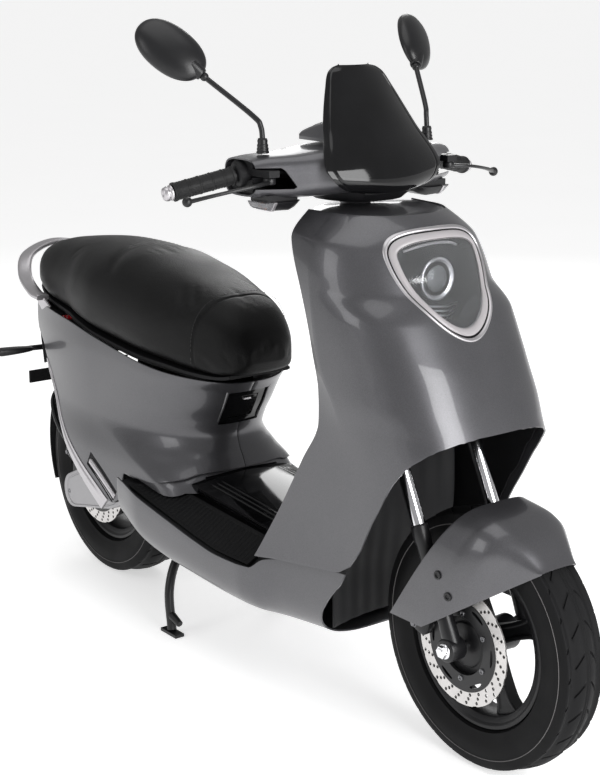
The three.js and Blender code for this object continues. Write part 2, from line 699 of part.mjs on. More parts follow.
const floorHalf = curve([[-440, 167], [-360, 170], [-263, 179], [-190, 193], [-150, 198], [200, 199],
  [300, 186]]);
const rimZ = curve([[-440, 326], [-377, 318], [-318, 310], [-263, 303], [-222, 292], [-185, 268],
  [-84, 264], [-13, 271], [77, 285], [185, 303], [250, 316], [300, 322]]);
const bellyZ = curve([[-440, 174], [-359, 169], [-185, 160], [100, 166], [170, 172], [248, 190], [300, 210]]);
const matInnerZ = curve([[-176, 306], [0, 316], [118, 323], [270, 330]]);
const matOuterZ = curve([[-180, 270], [-84, 268], [-13, 275], [77, 289], [185, 307], [260, 321]]);
const tunnelZ = curve([[-176, 338], [15, 353], [125, 361]]);
const MAT_INNER = 126;
const MAT_OUTER = 188;
const TUNNEL_HALF = 122;

function bellySurface(u, v) {
  const y = lerp(-445, 300, v);
  const a = (u - 0.5) * Math.PI;
  const x = power(Math.sin(a), 0.5) * floorHalf(y);
  return vec(x, y, rimZ(y) - (rimZ(y) - bellyZ(y)) * Math.cos(a) ** 0.5);
}

function deckHeight(x, y) {
  const k = THREE.MathUtils.clamp((Math.abs(x) - MAT_INNER) / (MAT_OUTER - MAT_INNER), 0, 1.1);
  return lerp(matInnerZ(y), matOuterZ(y), k) - 8.5;
}

function lowerFairing() {
  const deck = panel((u, v) => {
    const y = lerp(-182, 232, v);
    const k = u * 2 - 1;
    const outer = floorHalf(y) - 1.5;
    const reach = 2 * Math.abs(k);
    const across = reach < 1 ? reach * MAT_INNER : lerp(MAT_INNER, outer, reach - 1);
    const x = Math.sign(k) * across;
    return vec(x, y, deckHeight(x, y));
  }, 8, 10, PANEL);
  const skin = solid(panel((u, v) => bellySurface(1 - u, v), 12, 10, PANEL));
  const arch = solid(sidePlate(ARCH, [-260, 260]));
  const standBay = solid(box([-128, 128], [120, 320], [120, 240]));
  return shapeOf(skin.subtract(arch).subtract(standBay).add(solid(deck)));
}

function floorMat() {
  return panel((u, v) => {
    const x = -lerp(MAT_OUTER, MAT_INNER, u);
    const rear = lerp(250, 128, u ** 2);
    const y = lerp(-176, rear, v);
    const k = (Math.abs(x) - MAT_INNER) / (MAT_OUTER - MAT_INNER);
    return vec(x, y, lerp(matInnerZ(y), matOuterZ(y), k));
  }, 4, 10, 4.5);
}

function tunnelCover() {
  return panel((u, v) => {
    const k = u * 2 - 1;
    const x = k * TUNNEL_HALF;
    const y = lerp(-180, lerp(94, 112, k * k), v);
    return vec(x, y, tunnelZ(y) - 18 * k * k);
  }, 8, 6, 14);
}

// ---------------------------------------------------------------- rear body

const columnY = curve([[249, 40], [340, 84], [366, 97], [380, 104], [400, 116], [428, 124], [460, 113],
  [495, 92], [537, 70], [560, 55], [620, 40]]);
const columnReach = curve([[249, 100], [330, 110], [380, 230], [430, 330], [500, 300], [560, 260]]);
const panelHalf = curve([[249, 168], [340, 165], [430, 152], [560, 155], [620, 150]]);
const panelEndY = curve([[249, 360], [280, 422], [314, 486], [354, 550], [398, 606], [442, 638],
  [477, 666], [507, 694], [535, 716], [560, 752], [600, 766], [620, 768]]);
const seatLineZ = curve([[40, 548], [80, 560], [200, 572], [299, 582], [415, 596], [562, 614], [770, 622]]);
const panelFootZ = curve([[60, 366], [112, 358], [126, 349], [160, 340], [200, 332], [250, 328],
  [262, 326], [300, 327], [318, 268], [345, 250]]);
const tailTaper = (y) => 1 - 0.29 * Math.max(0, (y - 450) / 310) ** 2;

// Where column position a lies at height z, on the rider's right side.
function bodyPoint(a, z) {
  const [front, end] = [columnY(z), panelEndY(z)];
  const y = lerp(front, end, a ** 1.8);
  const t = Math.min(1, (y - front) / columnReach(z));
  const x = panelHalf(z) * (1 - (1 - t) ** 2.5) ** (1 / 2.5) * tailTaper(y);
  return [x, y];
}

// The height at which column a meets a boundary that is given by its height at each y.
function meet(a, boundary, low, high) {
  let [below, above] = [low, high];
  for (let i = 0; i < 30; i += 1) {
    const middle = (below + above) / 2;
    if (middle < boundary(bodyPoint(a, middle)[1])) below = middle;
    else above = middle;
  }
  return (below + above) / 2;
}

function sidePanel() {
  const skin = panel((u, v) => {
    const a = Math.max(u, 1e-4);
    const z = lerp(meet(a, panelFootZ, 240, 420), meet(a, seatLineZ, 500, 640) - 1.5, v);
    const [x, y] = bodyPoint(a, z);
    return vec(-x - GAP, y, z);
  }, 12, 7, PANEL);
  const window = box([-LOCK.half, 20], [20, 240], [LOCK.low, LOCK.high]);
  const hingeRelief = box([-180, -156], [328, 346], [250, 276]);
  return cut(skin, window, footrestBar(24, 40), hingeRelief);
}

// The black panel below the seat nose, with its charging-port flap in the middle.
const LOCK = { half: 50, low: 452, high: 530 };
const FLAP = { half: 28, low: 466, high: 517 };

// How far back the column's skin is at x, z.
function columnDepth(x, z) {
  let [near, far] = [1e-4, 0.6];
  for (let i = 0; i < 30; i += 1) {
    const middle = (near + far) / 2;
    if (bodyPoint(middle, z)[0] < Math.abs(x)) near = middle;
    else far = middle;
  }
  return bodyPoint(near, z)[1];
}

function columnPatch({ half, low, high }, inset, thickness) {
  return panel((u, v) => {
    const [x, z] = [lerp(-half, half, u), lerp(low, high, v)];
    return vec(x, columnDepth(x, z) + inset, z);
  }, 8, 4, thickness);
}

const grown = ({ half, low, high }, by) => ({ half: half + by, low: low - by, high: high + by });

function lockPanel() {
  const plate = columnPatch(grown(LOCK, -0.6), 1, 8);
  const flapBay = box([-FLAP.half, FLAP.half], [20, 240], [FLAP.low - 3, FLAP.high + 3]);
  return cut(plate, flapBay);
}

function chargeFlap() {
  return columnPatch(grown(FLAP, -0.8), 1, 4);
}

const trimAcross = (t) => lerp(44, 10, t);

// A tapering strip that follows the lower rear edge of the side panel.
function trim() {
  return panel((u, v) => {
    const z = lerp(252, 500, v);
    const shift = (GAP + 0.6 + u * trimAcross(v)) * 0.74;
    const [y, low] = [panelEndY(z) + shift, z - shift * 0.9];
    const half = panelHalf(z) * tailTaper(y);
    return vec(-half + 1 + 4 * u * u, y, low);
  }, 3, 10, 6);
}

function grabRail() {
  const half = [[-142, 606, 640], [-140, 665, 639], [-133, 735, 645], [-121, 800, 674],
    [-84, 848, 713], [0, 867, 733]];
  return strip(bothEnds(half), 32, 13, vec(0, 0, 1), 16);
}

function tailPoint(k, y, z) {
  const half = panelHalf(z) * tailTaper(760) - 5;
  return vec(k * half, y + 34 * (1 - k * k), z);
}

function tailLamp() {
  return panel((u, v) => tailPoint(1 - u * 2, 768, lerp(556, 600, v)), 10, 2, 12);
}

function rearFender() {
  const apron = panel((u, v) => tailPoint(1 - u * 2, lerp(758, 770, v), lerp(470, 553, v)), 10, 4, 4);
  const stay = strip([[0, 792, 488], [0, 826, 452], [0, 850, 420]], 60, 8, vec(1, 0, 0), 6);
  const plateBar = box([-96, 96], [846, 851], [402, 432]);
  return joined(apron, stay, plateBar);
}

// A mud guard on the swingarm that follows the rear tyre.
const HUGGER_RADIUS = REAR_TYRE.radius + 26;

function rearHugger() {
  const skin = panel((u, v) => {
    const angle = lerp(-0.3, 1.25, v);
    const half = lerp(48, 66, v);
    return vec((1 - u * 2) * half, REAR_AXLE.y + HUGGER_RADIUS * Math.cos(angle),
      REAR_AXLE.z + HUGGER_RADIUS * Math.sin(angle));
  }, 4, 8, 4);
  const stay = tube([[-98, 634, 273], [-98, 712, 330], [-84, 760, 372], [-54, 790, 396]], 5, 6, 6);
  return joined(skin, stay, mirrored(stay));
}

function rearIndicator() {
  const stalk = bar([-66, 802, 500], [-134, 786, 503], 7, 7, 8);
  const pod = ball([-172, 777, 505], [46, 13, 15], 12);
  return joined(stalk, pod);
}

// The cushion, as sections across the seat at each y.
const seatHalf = curve([[12, 48], [30, 76], [80, 104], [160, 132], [280, 150], [450, 154], [540, 144],
  [600, 129], [660, 120], [720, 112], [790, 92], [820, 60]]);
const seatTop = curve([[12, 634], [30, 672], [70, 708], [110, 724], [164, 738], [292, 768], [408, 779],
  [552, 778], [684, 767], [790, 748], [820, 722]]);
const seatBase = curve([[12, 596], [30, 572], [70, 564], [200, 574], [299, 580], [415, 592], [562, 610],
  [700, 622], [820, 652]]);

function seatLoop(y) {
  const [half, top, base] = [seatHalf(y), seatTop(y), seatBase(y)];
  const shoulder = lerp(base, top, 0.3);
  return Array.from({ length: 16 }, (_, k) => {
    const a = (2 * Math.PI * k) / 16;
    const s = Math.sin(a);
    const rise = s >= 0 ? (top - shoulder) * s ** 0.75 : (base - shoulder) * (-s) ** 0.4;
    return vec(half * power(Math.cos(a), 0.72), y, shoulder + rise);
  });
}

function seatCushion() {
  const stations = [12, 20, 35, 60, 110, 180, 290, 420, 550, 640, 720, 785, 820];
  return loft(stations.map(seatLoop));
}

function seatPan() {
  const stations = [92, 130, 200, 300, 420, 540, 660, 760];
  return loft(stations.map((y) => {
    const [half, z] = [seatHalf(y) - 30, seatBase(y) - 4];
    return [vec(-half, y, z), vec(half, y, z), vec(half, y, z - 4), vec(-half, y, z - 4)];
  }));
}

function storageBucket() {
  const outer = box([-76, 76], [170, 385], [434, 548]);
  const inner = box([-72, 72], [174, 381], [438, 560]);
  return cut(outer, inner);
}

function footrestBar(width, thickness) {
  const run = [[-166, 338, 264], [-167, 392, 297], [-167, 440, 323]];
  return strip(run, width, thickness, vec(0, -0.5, 0.86), 6);
}

// ---------------------------------------------------------------- chassis and running gear

function mainFrame() {
  const headTube = bar([0, steerY(625), 625], [0, steerY(800), 800], 25, 25, 20);
  const headBore = bar([0, steerY(600), 600], [0, steerY(830), 830], 16.6, 16.6, 20);
  const spine = tube([[0, -392, 690], [0, -322, 606], [0, -304, 470], [0, -276, 340], [0, -230, 252],
    [0, -150, 232]], 17, 9, 8);
  const rail = tube([[-20, -170, 232], [-62, -120, 228], [-70, 0, 224], [-74, 150, 226],
    [-80, 232, 246], [-92, 290, 330], [-96, 345, 430], [-98, 430, 500], [-94, 560, 528], [-78, 720, 540]],
  13, 14, 6);
  const cross = [[-96, 335, 408], [-97, 700, 538], [-70, 60, 224]].map(([x, y, z]) => (
    bar([x, y, z], [-x, y, z], 10, 10, 8)));
  const pivotTube = bar([-76, SWING_PIVOT.y, SWING_PIVOT.z], [76, SWING_PIVOT.y, SWING_PIVOT.z], 13, 13, 12);
  const pivotPlate = sidePlate([[224, 226], [282, 226], [300, 330], [278, 330], [228, 262]], [-90, -74]);
  const standEar = box([-80, -72], [202, 222], [189, 232]);
  const shockEar = box([-118, -84], [588, 614], [520, 534]);
  const body = join(headTube, spine, rail, mirrored(rail), ...cross, pivotTube,
    pivotPlate, mirrored(pivotPlate), standEar, mirrored(standEar), shockEar, mirrored(shockEar));
  const pivotBore = bar([-120, SWING_PIVOT.y, SWING_PIVOT.z], [120, SWING_PIVOT.y, SWING_PIVOT.z], 8.8);
  const standBore = bar([-120, STAND_PIVOT.y, STAND_PIVOT.z], [120, STAND_PIVOT.y, STAND_PIVOT.z], 6.8);
  return shapeOf(body.subtract(join(headBore, pivotBore, standBore)));
}

function swingarm() {
  const arm = sidePlate([[SWING_PIVOT.y - 16, 222], [SWING_PIVOT.y + 4, 256], [440, 262], [636, 266],
    [640, 206], [440, 212]], [-104, -92]);
  const axle = bar([-106, REAR_AXLE.y, REAR_AXLE.z], [106, REAR_AXLE.y, REAR_AXLE.z], 8.6);
  const pivot = bar([-98, SWING_PIVOT.y, SWING_PIVOT.z], [98, SWING_PIVOT.y, SWING_PIVOT.z], 8);
  return joined(arm, mirrored(arm), axle, pivot);
}

function hubCover() {
  return sidePlate([[645, 182], [648, 208], [636, 232], [560, 268], [460, 268], [400, 256], [388, 222],
    [440, 200], [613, 160], [632, 166]], [-124, -107]);
}

function shock() {
  const coil = bar([-108, 606, 300], [-108, 602, 480], 20, 20, 12);
  const body = bar([-108, 606, 284], [-108, 602, 516], 9, 9, 8);
  const eye = bar([-118, 606, 284], [-98, 606, 284], 11, 11, 10);
  return joined(coil, body, eye);
}

function centreStand() {
  const bush = bar([-55, STAND_PIVOT.y, STAND_PIVOT.z], [55, STAND_PIVOT.y, STAND_PIVOT.z], 12, 12, 12);
  const pin = bar([-82, STAND_PIVOT.y, STAND_PIVOT.z], [82, STAND_PIVOT.y, STAND_PIVOT.z], 6, 6, 12);
  const leg = tube([[-40, 212, 192], [-98, 206, 150], [-131, 190, 90], [-138, 172, 8]], 10, 6, 6);
  const foot = box([-150, -128], [140, 198], [0, 7]);
  const tang = bar([-138, 170, 40], [-138, 140, 30], 9, 7, 8);
  return joined(bush, pin, leg, mirrored(leg), foot, mirrored(foot), tang, mirrored(tang));
}

function bodyAndChassis() {
  add('main_frame', mainFrame(), BLACK);
  add('front_shield', frontShield(), PAINT);
  add('headlight_bezel', headlightBezel(), SILVER);
  add('headlight_lens', headlightLens(), CLEAR);
  add('leg_shield', legShield(), BLACK);
  add('wheel_well', wheelWell(), BLACK);
  add('lower_fairing', lowerFairing(), PAINT);
  addPair('floor_mat', floorMat(), RUBBER);
  add('tunnel_cover', tunnelCover(), GLOSS);
  addPair('side_panel', sidePanel(), PAINT);
  add('lock_panel', lockPanel(), GLOSS);
  add('charge_flap', chargeFlap(), GLOSS);
  addPair('trim', trim(), SILVER);
  addPair('footrest', footrestBar(15, 11), SILVER);
  add('grab_rail', grabRail(), SILVER);
  add('tail_lamp', tailLamp(), RED);
  add('rear_fender', rearFender(), BLACK);
  addPair('turn_rear', rearIndicator(), AMBER);
  add('storage_bucket', storageBucket(), BLACK);
  add('seat_cushion', seatCushion(), VINYL);
  add('seat_base', seatPan(), BLACK);
  add('swingarm', swingarm(), BLACK);
  add('rear_hugger', rearHugger(), BLACK);
  add('hub_cover', hubCover(), SILVER);
  addPair('shock', shock(), BLACK);
  add('rear_caliper', caliper(REAR_AXLE, REAR_DISC_X, 0.5, 100), BLACK);
  add('center_stand', centreStand(), BLACK);
}

frontWheel();
rearWheel();
frontEnd();
steeringGroup();
bodyAndChassis();

export default scooter;
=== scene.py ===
"""Looks for the moped scooter: every visible piece, its material, the camera and the light.

Shape numbers are millimetres in the frame's axes: +Z up, the scooter faces -Y, the rider's right is -X.
"""
import math

import bmesh
import bpy
from mathutils import Matrix, Vector


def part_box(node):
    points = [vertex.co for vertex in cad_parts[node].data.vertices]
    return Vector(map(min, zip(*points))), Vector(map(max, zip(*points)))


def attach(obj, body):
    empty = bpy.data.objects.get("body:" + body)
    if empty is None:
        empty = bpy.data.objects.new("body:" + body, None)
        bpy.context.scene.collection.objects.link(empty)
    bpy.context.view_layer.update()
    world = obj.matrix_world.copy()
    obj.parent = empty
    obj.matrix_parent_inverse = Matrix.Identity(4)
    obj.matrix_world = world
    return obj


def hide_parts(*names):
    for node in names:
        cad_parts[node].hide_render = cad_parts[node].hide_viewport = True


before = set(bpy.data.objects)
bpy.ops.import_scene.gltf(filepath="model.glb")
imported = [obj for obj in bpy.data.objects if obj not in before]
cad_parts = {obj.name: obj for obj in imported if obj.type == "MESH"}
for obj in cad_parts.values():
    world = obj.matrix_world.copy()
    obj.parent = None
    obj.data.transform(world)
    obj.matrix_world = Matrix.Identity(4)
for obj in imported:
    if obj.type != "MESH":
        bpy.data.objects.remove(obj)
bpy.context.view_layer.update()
MM = 0.001

# ---------------------------------------------------------------- driving dimensions

FRONT_AXLE = (-640, 233.5)
REAR_AXLE = (580, 236.5)
FRONT_TYRE = (233.5, 45)
REAR_TYRE = (236.5, 60)
RIM_SEAT = 150
FORK_SPACING = 88
FORK_SLOPE = 0.488
PANEL = 3          # wall of the plastic panels
SHIELD_TOP = 950
GRIP_INNER = Vector((-229, -204, 1010))
GRIP_OUTER = Vector((-340, -177, 986))
MIRROR_JOINT = Vector((-245, -140, 1177))
UP = Vector((0, 0, 1))
RIGHT_AND_LEFT = (("right", -1), ("left", 1))


def fork_y(z):
    return FRONT_AXLE[0] - 5 + (z - FRONT_AXLE[1]) * FORK_SLOPE


def steer_y(z):
    return fork_y(z) + 35


# ---------------------------------------------------------------- number tools


def lerp(a, b, t):
    return a + (b - a) * t


def power(value, exponent):
    """Raises the size of value to exponent and keeps its sign."""
    return math.copysign(abs(value) ** exponent, value)


def ramp(edge0, edge1, x):
    t = min(1.0, max(0.0, (x - edge0) / (edge1 - edge0)))
    return t * t * (3 - 2 * t)


def curve(stations):
    """A monotone cubic through (t, value) stations, held level past both ends."""
    ts = [s[0] for s in stations]
    vs = [s[1] for s in stations]
    slope = [(vs[i + 1] - vs[i]) / (ts[i + 1] - ts[i]) for i in range(len(ts) - 1)]
    tangent = [slope[0]]
    for a, b in zip(slope, slope[1:]):
        tangent.append(0 if a * b <= 0 else 2 * a * b / (a + b))
    tangent.append(slope[-1])

    def at(t):
        if t <= ts[0]:
            return vs[0]
        if t >= ts[-1]:
            return vs[-1]
        i = 0
        while t > ts[i + 1]:
            i += 1
        h = ts[i + 1] - ts[i]
        s = (t - ts[i]) / h
        rise = vs[i + 1] - vs[i]
        a = tangent[i] * h - rise
        b = rise - tangent[i + 1] * h
        return vs[i] + s * rise + s * (1 - s) * (a * (1 - s) + b * s)

    return at


def smooth_path(points, steps):
    """Points along a Catmull-Rom curve through the given points."""
    pts = [Vector(p) for p in points]
    pts = [pts[0] * 2 - pts[1]] + pts + [pts[-1] * 2 - pts[-2]]
    spans = len(pts) - 3
    out = []
    for k in range(steps + 1):
        t = min(k / steps * spans, spans - 1e-9)
        i = int(t)
        f = t - i
        a, b, c, d = pts[i:i + 4]
        out.append(0.5 * (2 * b + (c - a) * f + (2 * a - 5 * b + 4 * c - d) * f * f
                          + (3 * b - a - 3 * c + d) * f ** 3))
    return out


def frames(path, up=None):
    """For each path point: (point, across, rise, along)."""
    out = []
    across = None
    for i, p in enumerate(path):
        along = (path[min(i + 1, len(path) - 1)] - path[max(i - 1, 0)]).normalized()
        if up is not None:
            across = Vector(up).cross(along).normalized()
        elif across is None:
            across = (Vector((1, 0, 0)) if abs(along.x) < 0.8 else UP).cross(along).normalized()
        else:
            across = (across - along * across.dot(along)).normalized()
        out.append((p, across, along.cross(across), along))
    return out


# ---------------------------------------------------------------- mesh tools


class Shape:
    """Vertices in millimetres and faces, gathered from several simple forms."""

    def __init__(self):
        self.verts = []
        self.faces = []

    def add(self, verts, faces):
        start = len(self.verts)
        self.verts += [Vector(v) for v in verts]
        self.faces += [[i + start for i in f] for f in faces]
        return self

    def grid(self, surface, nu, nv, hole=None):
        """surface(u, v) as quads whose normals are du x dv, without the faces whose middle is in hole."""
        verts = [surface(i / nu, j / nv) for i in range(nu + 1) for j in range(nv + 1)]
        faces = []
        for i in range(nu):
            for j in range(nv):
                a = i * (nv + 1) + j
                face = [a, a + nv + 1, a + nv + 2, a + 1]
                middle = sum((Vector(verts[k]) for k in face), Vector()) / 4
                if hole is None or not hole(middle):
                    faces.append(face)
        return self.add(verts, faces)

    def loft(self, loops, caps=True):
        n = len(loops[0])
        verts = [p for loop in loops for p in loop]
        faces = [[i * n + j, i * n + (j + 1) % n, (i + 1) * n + (j + 1) % n, (i + 1) * n + j]
                 for i in range(len(loops) - 1) for j in range(n)]
        if caps:
            last = (len(loops) - 1) * n
            faces += [list(range(n))[::-1], [last + j for j in range(n)]]
        return self.add(verts, faces)

    def turned(self, origin, axis, profile, sides=48, ease=0.8):
        """A lathe shape: profile is (distance along the axis, radius), with eased corners."""
        axis = Vector(axis).normalized()
        side = (UP if abs(axis.z) < 0.9 else Vector((1, 0, 0))).cross(axis).normalized()
        other = axis.cross(side)
        loops = []
        for s, r in eased(profile, ease):
            centre = Vector(origin) + axis * s
            loops.append([centre + (side * math.cos(a) + other * math.sin(a)) * max(r, 0.01)
                          for a in (2 * math.pi * k / sides for k in range(sides))])
        return self.loft(loops)

    def rod(self, a, b, radius, end=None, sides=32, ease=0.8):
        a, b = Vector(a), Vector(b)
        end = radius if end is None else end
        length = (b - a).length
        return self.turned(a, b - a, [(0, 0), (0, radius), (length, end), (length, 0)], sides, ease)

    def sweep(self, path, section, up=None):
        """section(t) gives the (across, rise) outline at share t of the path."""
        spots = frames(path, up)
        loops = []
        for i, (p, across, rise, _) in enumerate(spots):
            outline = section(i / (len(spots) - 1))
            loops.append([p + across * x + rise * y for x, y in outline])
        return self.loft(loops)

    def pipe(self, points, radius, steps=40, sides=20):
        size = radius if callable(radius) else (lambda t: radius)
        return self.sweep(smooth_path(points, steps), lambda t: circle(size(t), sides))

    def ball(self, centre, radii, sides=24):
        rows = sides // 2
        loops = []
        for i in range(rows + 1):
            a = math.pi * i / rows
            ring = max(math.sin(a), 1e-3)
            loops.append([Vector(centre) + Vector((radii[0] * ring * math.cos(b),
                                                   radii[1] * ring * math.sin(b),
                                                   radii[2] * math.cos(a)))
                          for b in (2 * math.pi * k / sides for k in range(sides))])
        return self.loft(loops)

    def box(self, lo, hi):
        xs, ys, zs = zip(lo, hi)
        verts = [Vector((x, y, z)) for x in xs for y in ys for z in zs]
        faces = [[0, 1, 3, 2], [4, 6, 7, 5], [0, 4, 5, 1], [2, 3, 7, 6], [0, 2, 6, 4], [1, 5, 7, 3]]
        return self.add(verts, faces)

    def plate(self, outline, depth, holes=()):
        """A flat plate: outline and holes are 3-D loops in one plane, depth is the thickness vector."""
        bm = bmesh.new()
        for loop in (outline, *holes):
            made = [bm.verts.new(Vector(p)) for p in loop]
            for k, v in enumerate(made):
                bm.edges.new((v, made[(k + 1) % len(made)]))
        bmesh.ops.triangle_fill(bm, use_beauty=True, edges=bm.edges[:])
        made = bmesh.ops.extrude_face_region(bm, geom=bm.faces[:])
        moved = [g for g in made["geom"] if isinstance(g, bmesh.types.BMVert)]
        bmesh.ops.translate(bm, verts=moved, vec=Vector(depth))
        bmesh.ops.recalc_face_normals(bm, faces=bm.faces[:])
        bm.verts.index_update()
        self.add([v.co.copy() for v in bm.verts], [[v.index for v in f.verts] for f in bm.faces])
        bm.free()
        return self

    def mirrored(self):
        twin = Shape()
        return twin.add([Vector((-v.x, v.y, v.z)) for v in self.verts], [f[::-1] for f in self.faces])

    def both(self):
        twin = self.mirrored()
        return self.add(twin.verts, twin.faces)

    def on_side(self, side):
        """The shape as drawn for the rider's right, or its mirror image for the left."""
        return self if side < 0 else self.mirrored()


def turns(count, start=0.0):
    """Angles evenly round a circle, the first of them start steps on."""
    return [2 * math.pi * (k + start) / count for k in range(count)]


def circle(radius, sides=24, squash=1.0):
    return [(radius * math.cos(a), radius * squash * math.sin(a)) for a in turns(sides)]


def rounded_bar(width, height, sides=24, exponent=0.5):
    """A rounded rectangle, width across and height along the rise."""
    return [(width / 2 * power(math.cos(a), exponent), height / 2 * power(math.sin(a), exponent))
            for a in turns(sides, 0.5)]


def eased(profile, ease):
    """Cuts each corner of a lathe profile, so that its edge catches the light."""
    out = [profile[0]]
    for before, here, after in zip(profile, profile[1:], profile[2:]):
        a, b, c = Vector(before), Vector(here), Vector(after)
        turn = (b - a).angle(c - b, 0) if (b - a).length and (c - b).length else 0
        if turn > math.radians(28) and ease:
            back = min(ease, 0.4 * (b - a).length)
            on = min(ease, 0.4 * (c - b).length)
            out += [tuple(b + (a - b).normalized() * back), tuple(b + (c - b).normalized() * on)]
        else:
            out.append(here)
    return out + [profile[-1]]


def piece(name, shape, finish, body, nodes=(), thick=0, bevel=0, smooth=35, cuts=()):
    """Makes an object of a shape: thickened inwards, bevelled, shaded, and riding on its body."""
    mesh = bpy.data.meshes.new(name)
    mesh.from_pydata([v * MM for v in shape.verts], [], shape.faces)
    obj = bpy.data.objects.new(name, mesh)
    bpy.context.scene.collection.objects.link(obj)
    if not thick:
        face_outwards(mesh)
    for polygon in mesh.polygons:
        polygon.use_smooth = True
    if thick:
        wall = obj.modifiers.new("wall", "SOLIDIFY")
        wall.thickness = thick * MM
        wall.offset = -1
    cutters = [cutter_of(shape) for shape in cuts]
    for cutter in cutters:
        hollow = obj.modifiers.new("cut", "BOOLEAN")
        hollow.object = cutter
        hollow.solver = "EXACT"
    if bevel:
        edge = obj.modifiers.new("edge", "BEVEL")
        edge.width = bevel * MM
        edge.segments = 3
        edge.limit_method = "ANGLE"
        edge.angle_limit = math.radians(40)
        edge.harden_normals = not thick
    settle(obj)
    for cutter in cutters:
        bpy.data.objects.remove(cutter)
    if thick:
        face_outwards(obj.data)
    obj.data.materials.clear()
    obj.data.materials.append(LOOKS[finish][0])
    for polygon in obj.data.polygons:
        polygon.use_smooth = True
    if thick or not bevel:
        obj.data.set_sharp_from_angle(angle=math.radians(smooth))
    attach(obj, body)
    if nodes:
        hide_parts(*nodes)
    return obj


def face_outwards(mesh):
    bm = bmesh.new()
    bm.from_mesh(mesh)
    bmesh.ops.recalc_face_normals(bm, faces=bm.faces[:])
    bm.to_mesh(mesh)
    bm.free()


def cutter_of(shape):
    """A temporary object that a piece is cut with."""
    mesh = bpy.data.meshes.new("cutter")
    mesh.from_pydata([v * MM for v in shape.verts], [], shape.faces)
    face_outwards(mesh)
    obj = bpy.data.objects.new("cutter", mesh)
    bpy.context.scene.collection.objects.link(obj)
    return obj


def settle(obj):
    """Applies an object's modifiers to its mesh."""
    if not obj.modifiers:
        return
    bpy.context.view_layer.update()
    seen = obj.evaluated_get(bpy.context.evaluated_depsgraph_get())
    mesh = bpy.data.meshes.new_from_object(seen)
    obj.modifiers.clear()
    obj.data = mesh


# ---------------------------------------------------------------- materials

LOOKS = {}


def node_maker(tree):
    def make(kind, **inputs):
        node = tree.nodes.new(kind)
        for key, value in inputs.items():
            if isinstance(value, bpy.types.NodeSocket):
                tree.links.new(value, node.inputs[key.replace("_", " ")])
            else:
                node.inputs[key.replace("_", " ")].default_value = value
        return node
    return make


def look(name, slot, colour, rough, metal=0.0, grain=(900, 0.05), vary=0.12, patch=14, coat=0.0,
         cells=0, rings=None, flakes=0.0, through=0.0, specular=0.5, anisotropic=0.0):
    """A procedural finish: patchy colour and roughness, and a fine bump of grain, cells or rings."""
    material = bpy.data.materials.new(name)
    material.use_nodes = True
    tree = material.node_tree
    make = node_maker(tree)
    shader = tree.nodes["Principled BSDF"]
    where = make("ShaderNodeTexCoord").outputs["Object"]
    clouds = make("ShaderNodeTexNoise", Vector=where, Scale=patch, Detail=5.0).outputs["Fac"]
    fine = make("ShaderNodeTexNoise", Vector=where, Scale=grain[0], Detail=4.0).outputs["Fac"]

    tint = tree.nodes.new("ShaderNodeValToRGB")
    tint.color_ramp.elements[0].position = 0.3
    tint.color_ramp.elements[1].position = 0.7
    tint.color_ramp.elements[0].color = (*[c * (1 - vary) for c in colour], 1)
    tint.color_ramp.elements[1].color = (*[min(1, c * (1 + vary)) for c in colour], 1)
    tree.links.new(clouds, tint.inputs["Fac"])
    colour_out = tint.outputs["Color"]
    if flakes:
        speck = make("ShaderNodeTexVoronoi", Vector=where, Scale=1500.0)
        spread = make("ShaderNodeMapRange", Value=speck.outputs["Color"])
        spread.inputs["To Min"].default_value = 1 - flakes
        spread.inputs["To Max"].default_value = 1 + flakes
        scaled = tree.nodes.new("ShaderNodeVectorMath")
        scaled.operation = "SCALE"
        tree.links.new(colour_out, scaled.inputs[0])
        tree.links.new(spread.outputs[0], scaled.inputs["Scale"])
        colour_out = scaled.outputs[0]
    tree.links.new(colour_out, shader.inputs["Base Color"])

    polish = make("ShaderNodeMapRange", Value=clouds)
    polish.inputs["From Min"].default_value = 0.3
    polish.inputs["From Max"].default_value = 0.7
    polish.inputs["To Min"].default_value = max(0.02, rough * (1 - 1.2 * vary))
    polish.inputs["To Max"].default_value = min(1.0, rough * (1 + 1.2 * vary))
    tree.links.new(polish.outputs[0], shader.inputs["Roughness"])

    height = fine
    if cells:
        pebble = make("ShaderNodeTexVoronoi", Vector=where, Scale=float(cells))
        pebble.feature = "SMOOTH_F1"
        blend = tree.nodes.new("ShaderNodeMath")
        blend.operation = "MULTIPLY_ADD"
        tree.links.new(pebble.outputs["Distance"], blend.inputs[0])
        blend.inputs[1].default_value = 1.4
        tree.links.new(fine, blend.inputs[2])
        height = blend.outputs[0]
    if rings is not None:
        centred = tree.nodes.new("ShaderNodeVectorMath")
        centred.operation = "SUBTRACT"
        tree.links.new(where, centred.inputs[0])
        centred.inputs[1].default_value = (0, rings[0] * MM, rings[1] * MM)
        wave = make("ShaderNodeTexWave", Vector=centred.outputs[0], Scale=260.0, Distortion=1.5)
        wave.wave_type = "RINGS"
        wave.rings_direction = "X"
        height = wave.outputs["Fac"]
    bump = make("ShaderNodeBump", Height=height)
    bump.inputs["Strength"].default_value = grain[1]
    bump.inputs["Distance"].default_value = 0.0006
    tree.links.new(bump.outputs["Normal"], shader.inputs["Normal"])

    shader.inputs["Metallic"].default_value = metal
    shader.inputs["IOR"].default_value = 1.5
    shader.inputs["Coat Weight"].default_value = coat
    shader.inputs["Coat Roughness"].default_value = 0.04
    shader.inputs["Transmission Weight"].default_value = through
    shader.inputs["Anisotropic"].default_value = anisotropic
    shader.inputs["Specular IOR Level"].default_value = specular
    LOOKS[name] = (material, slot)


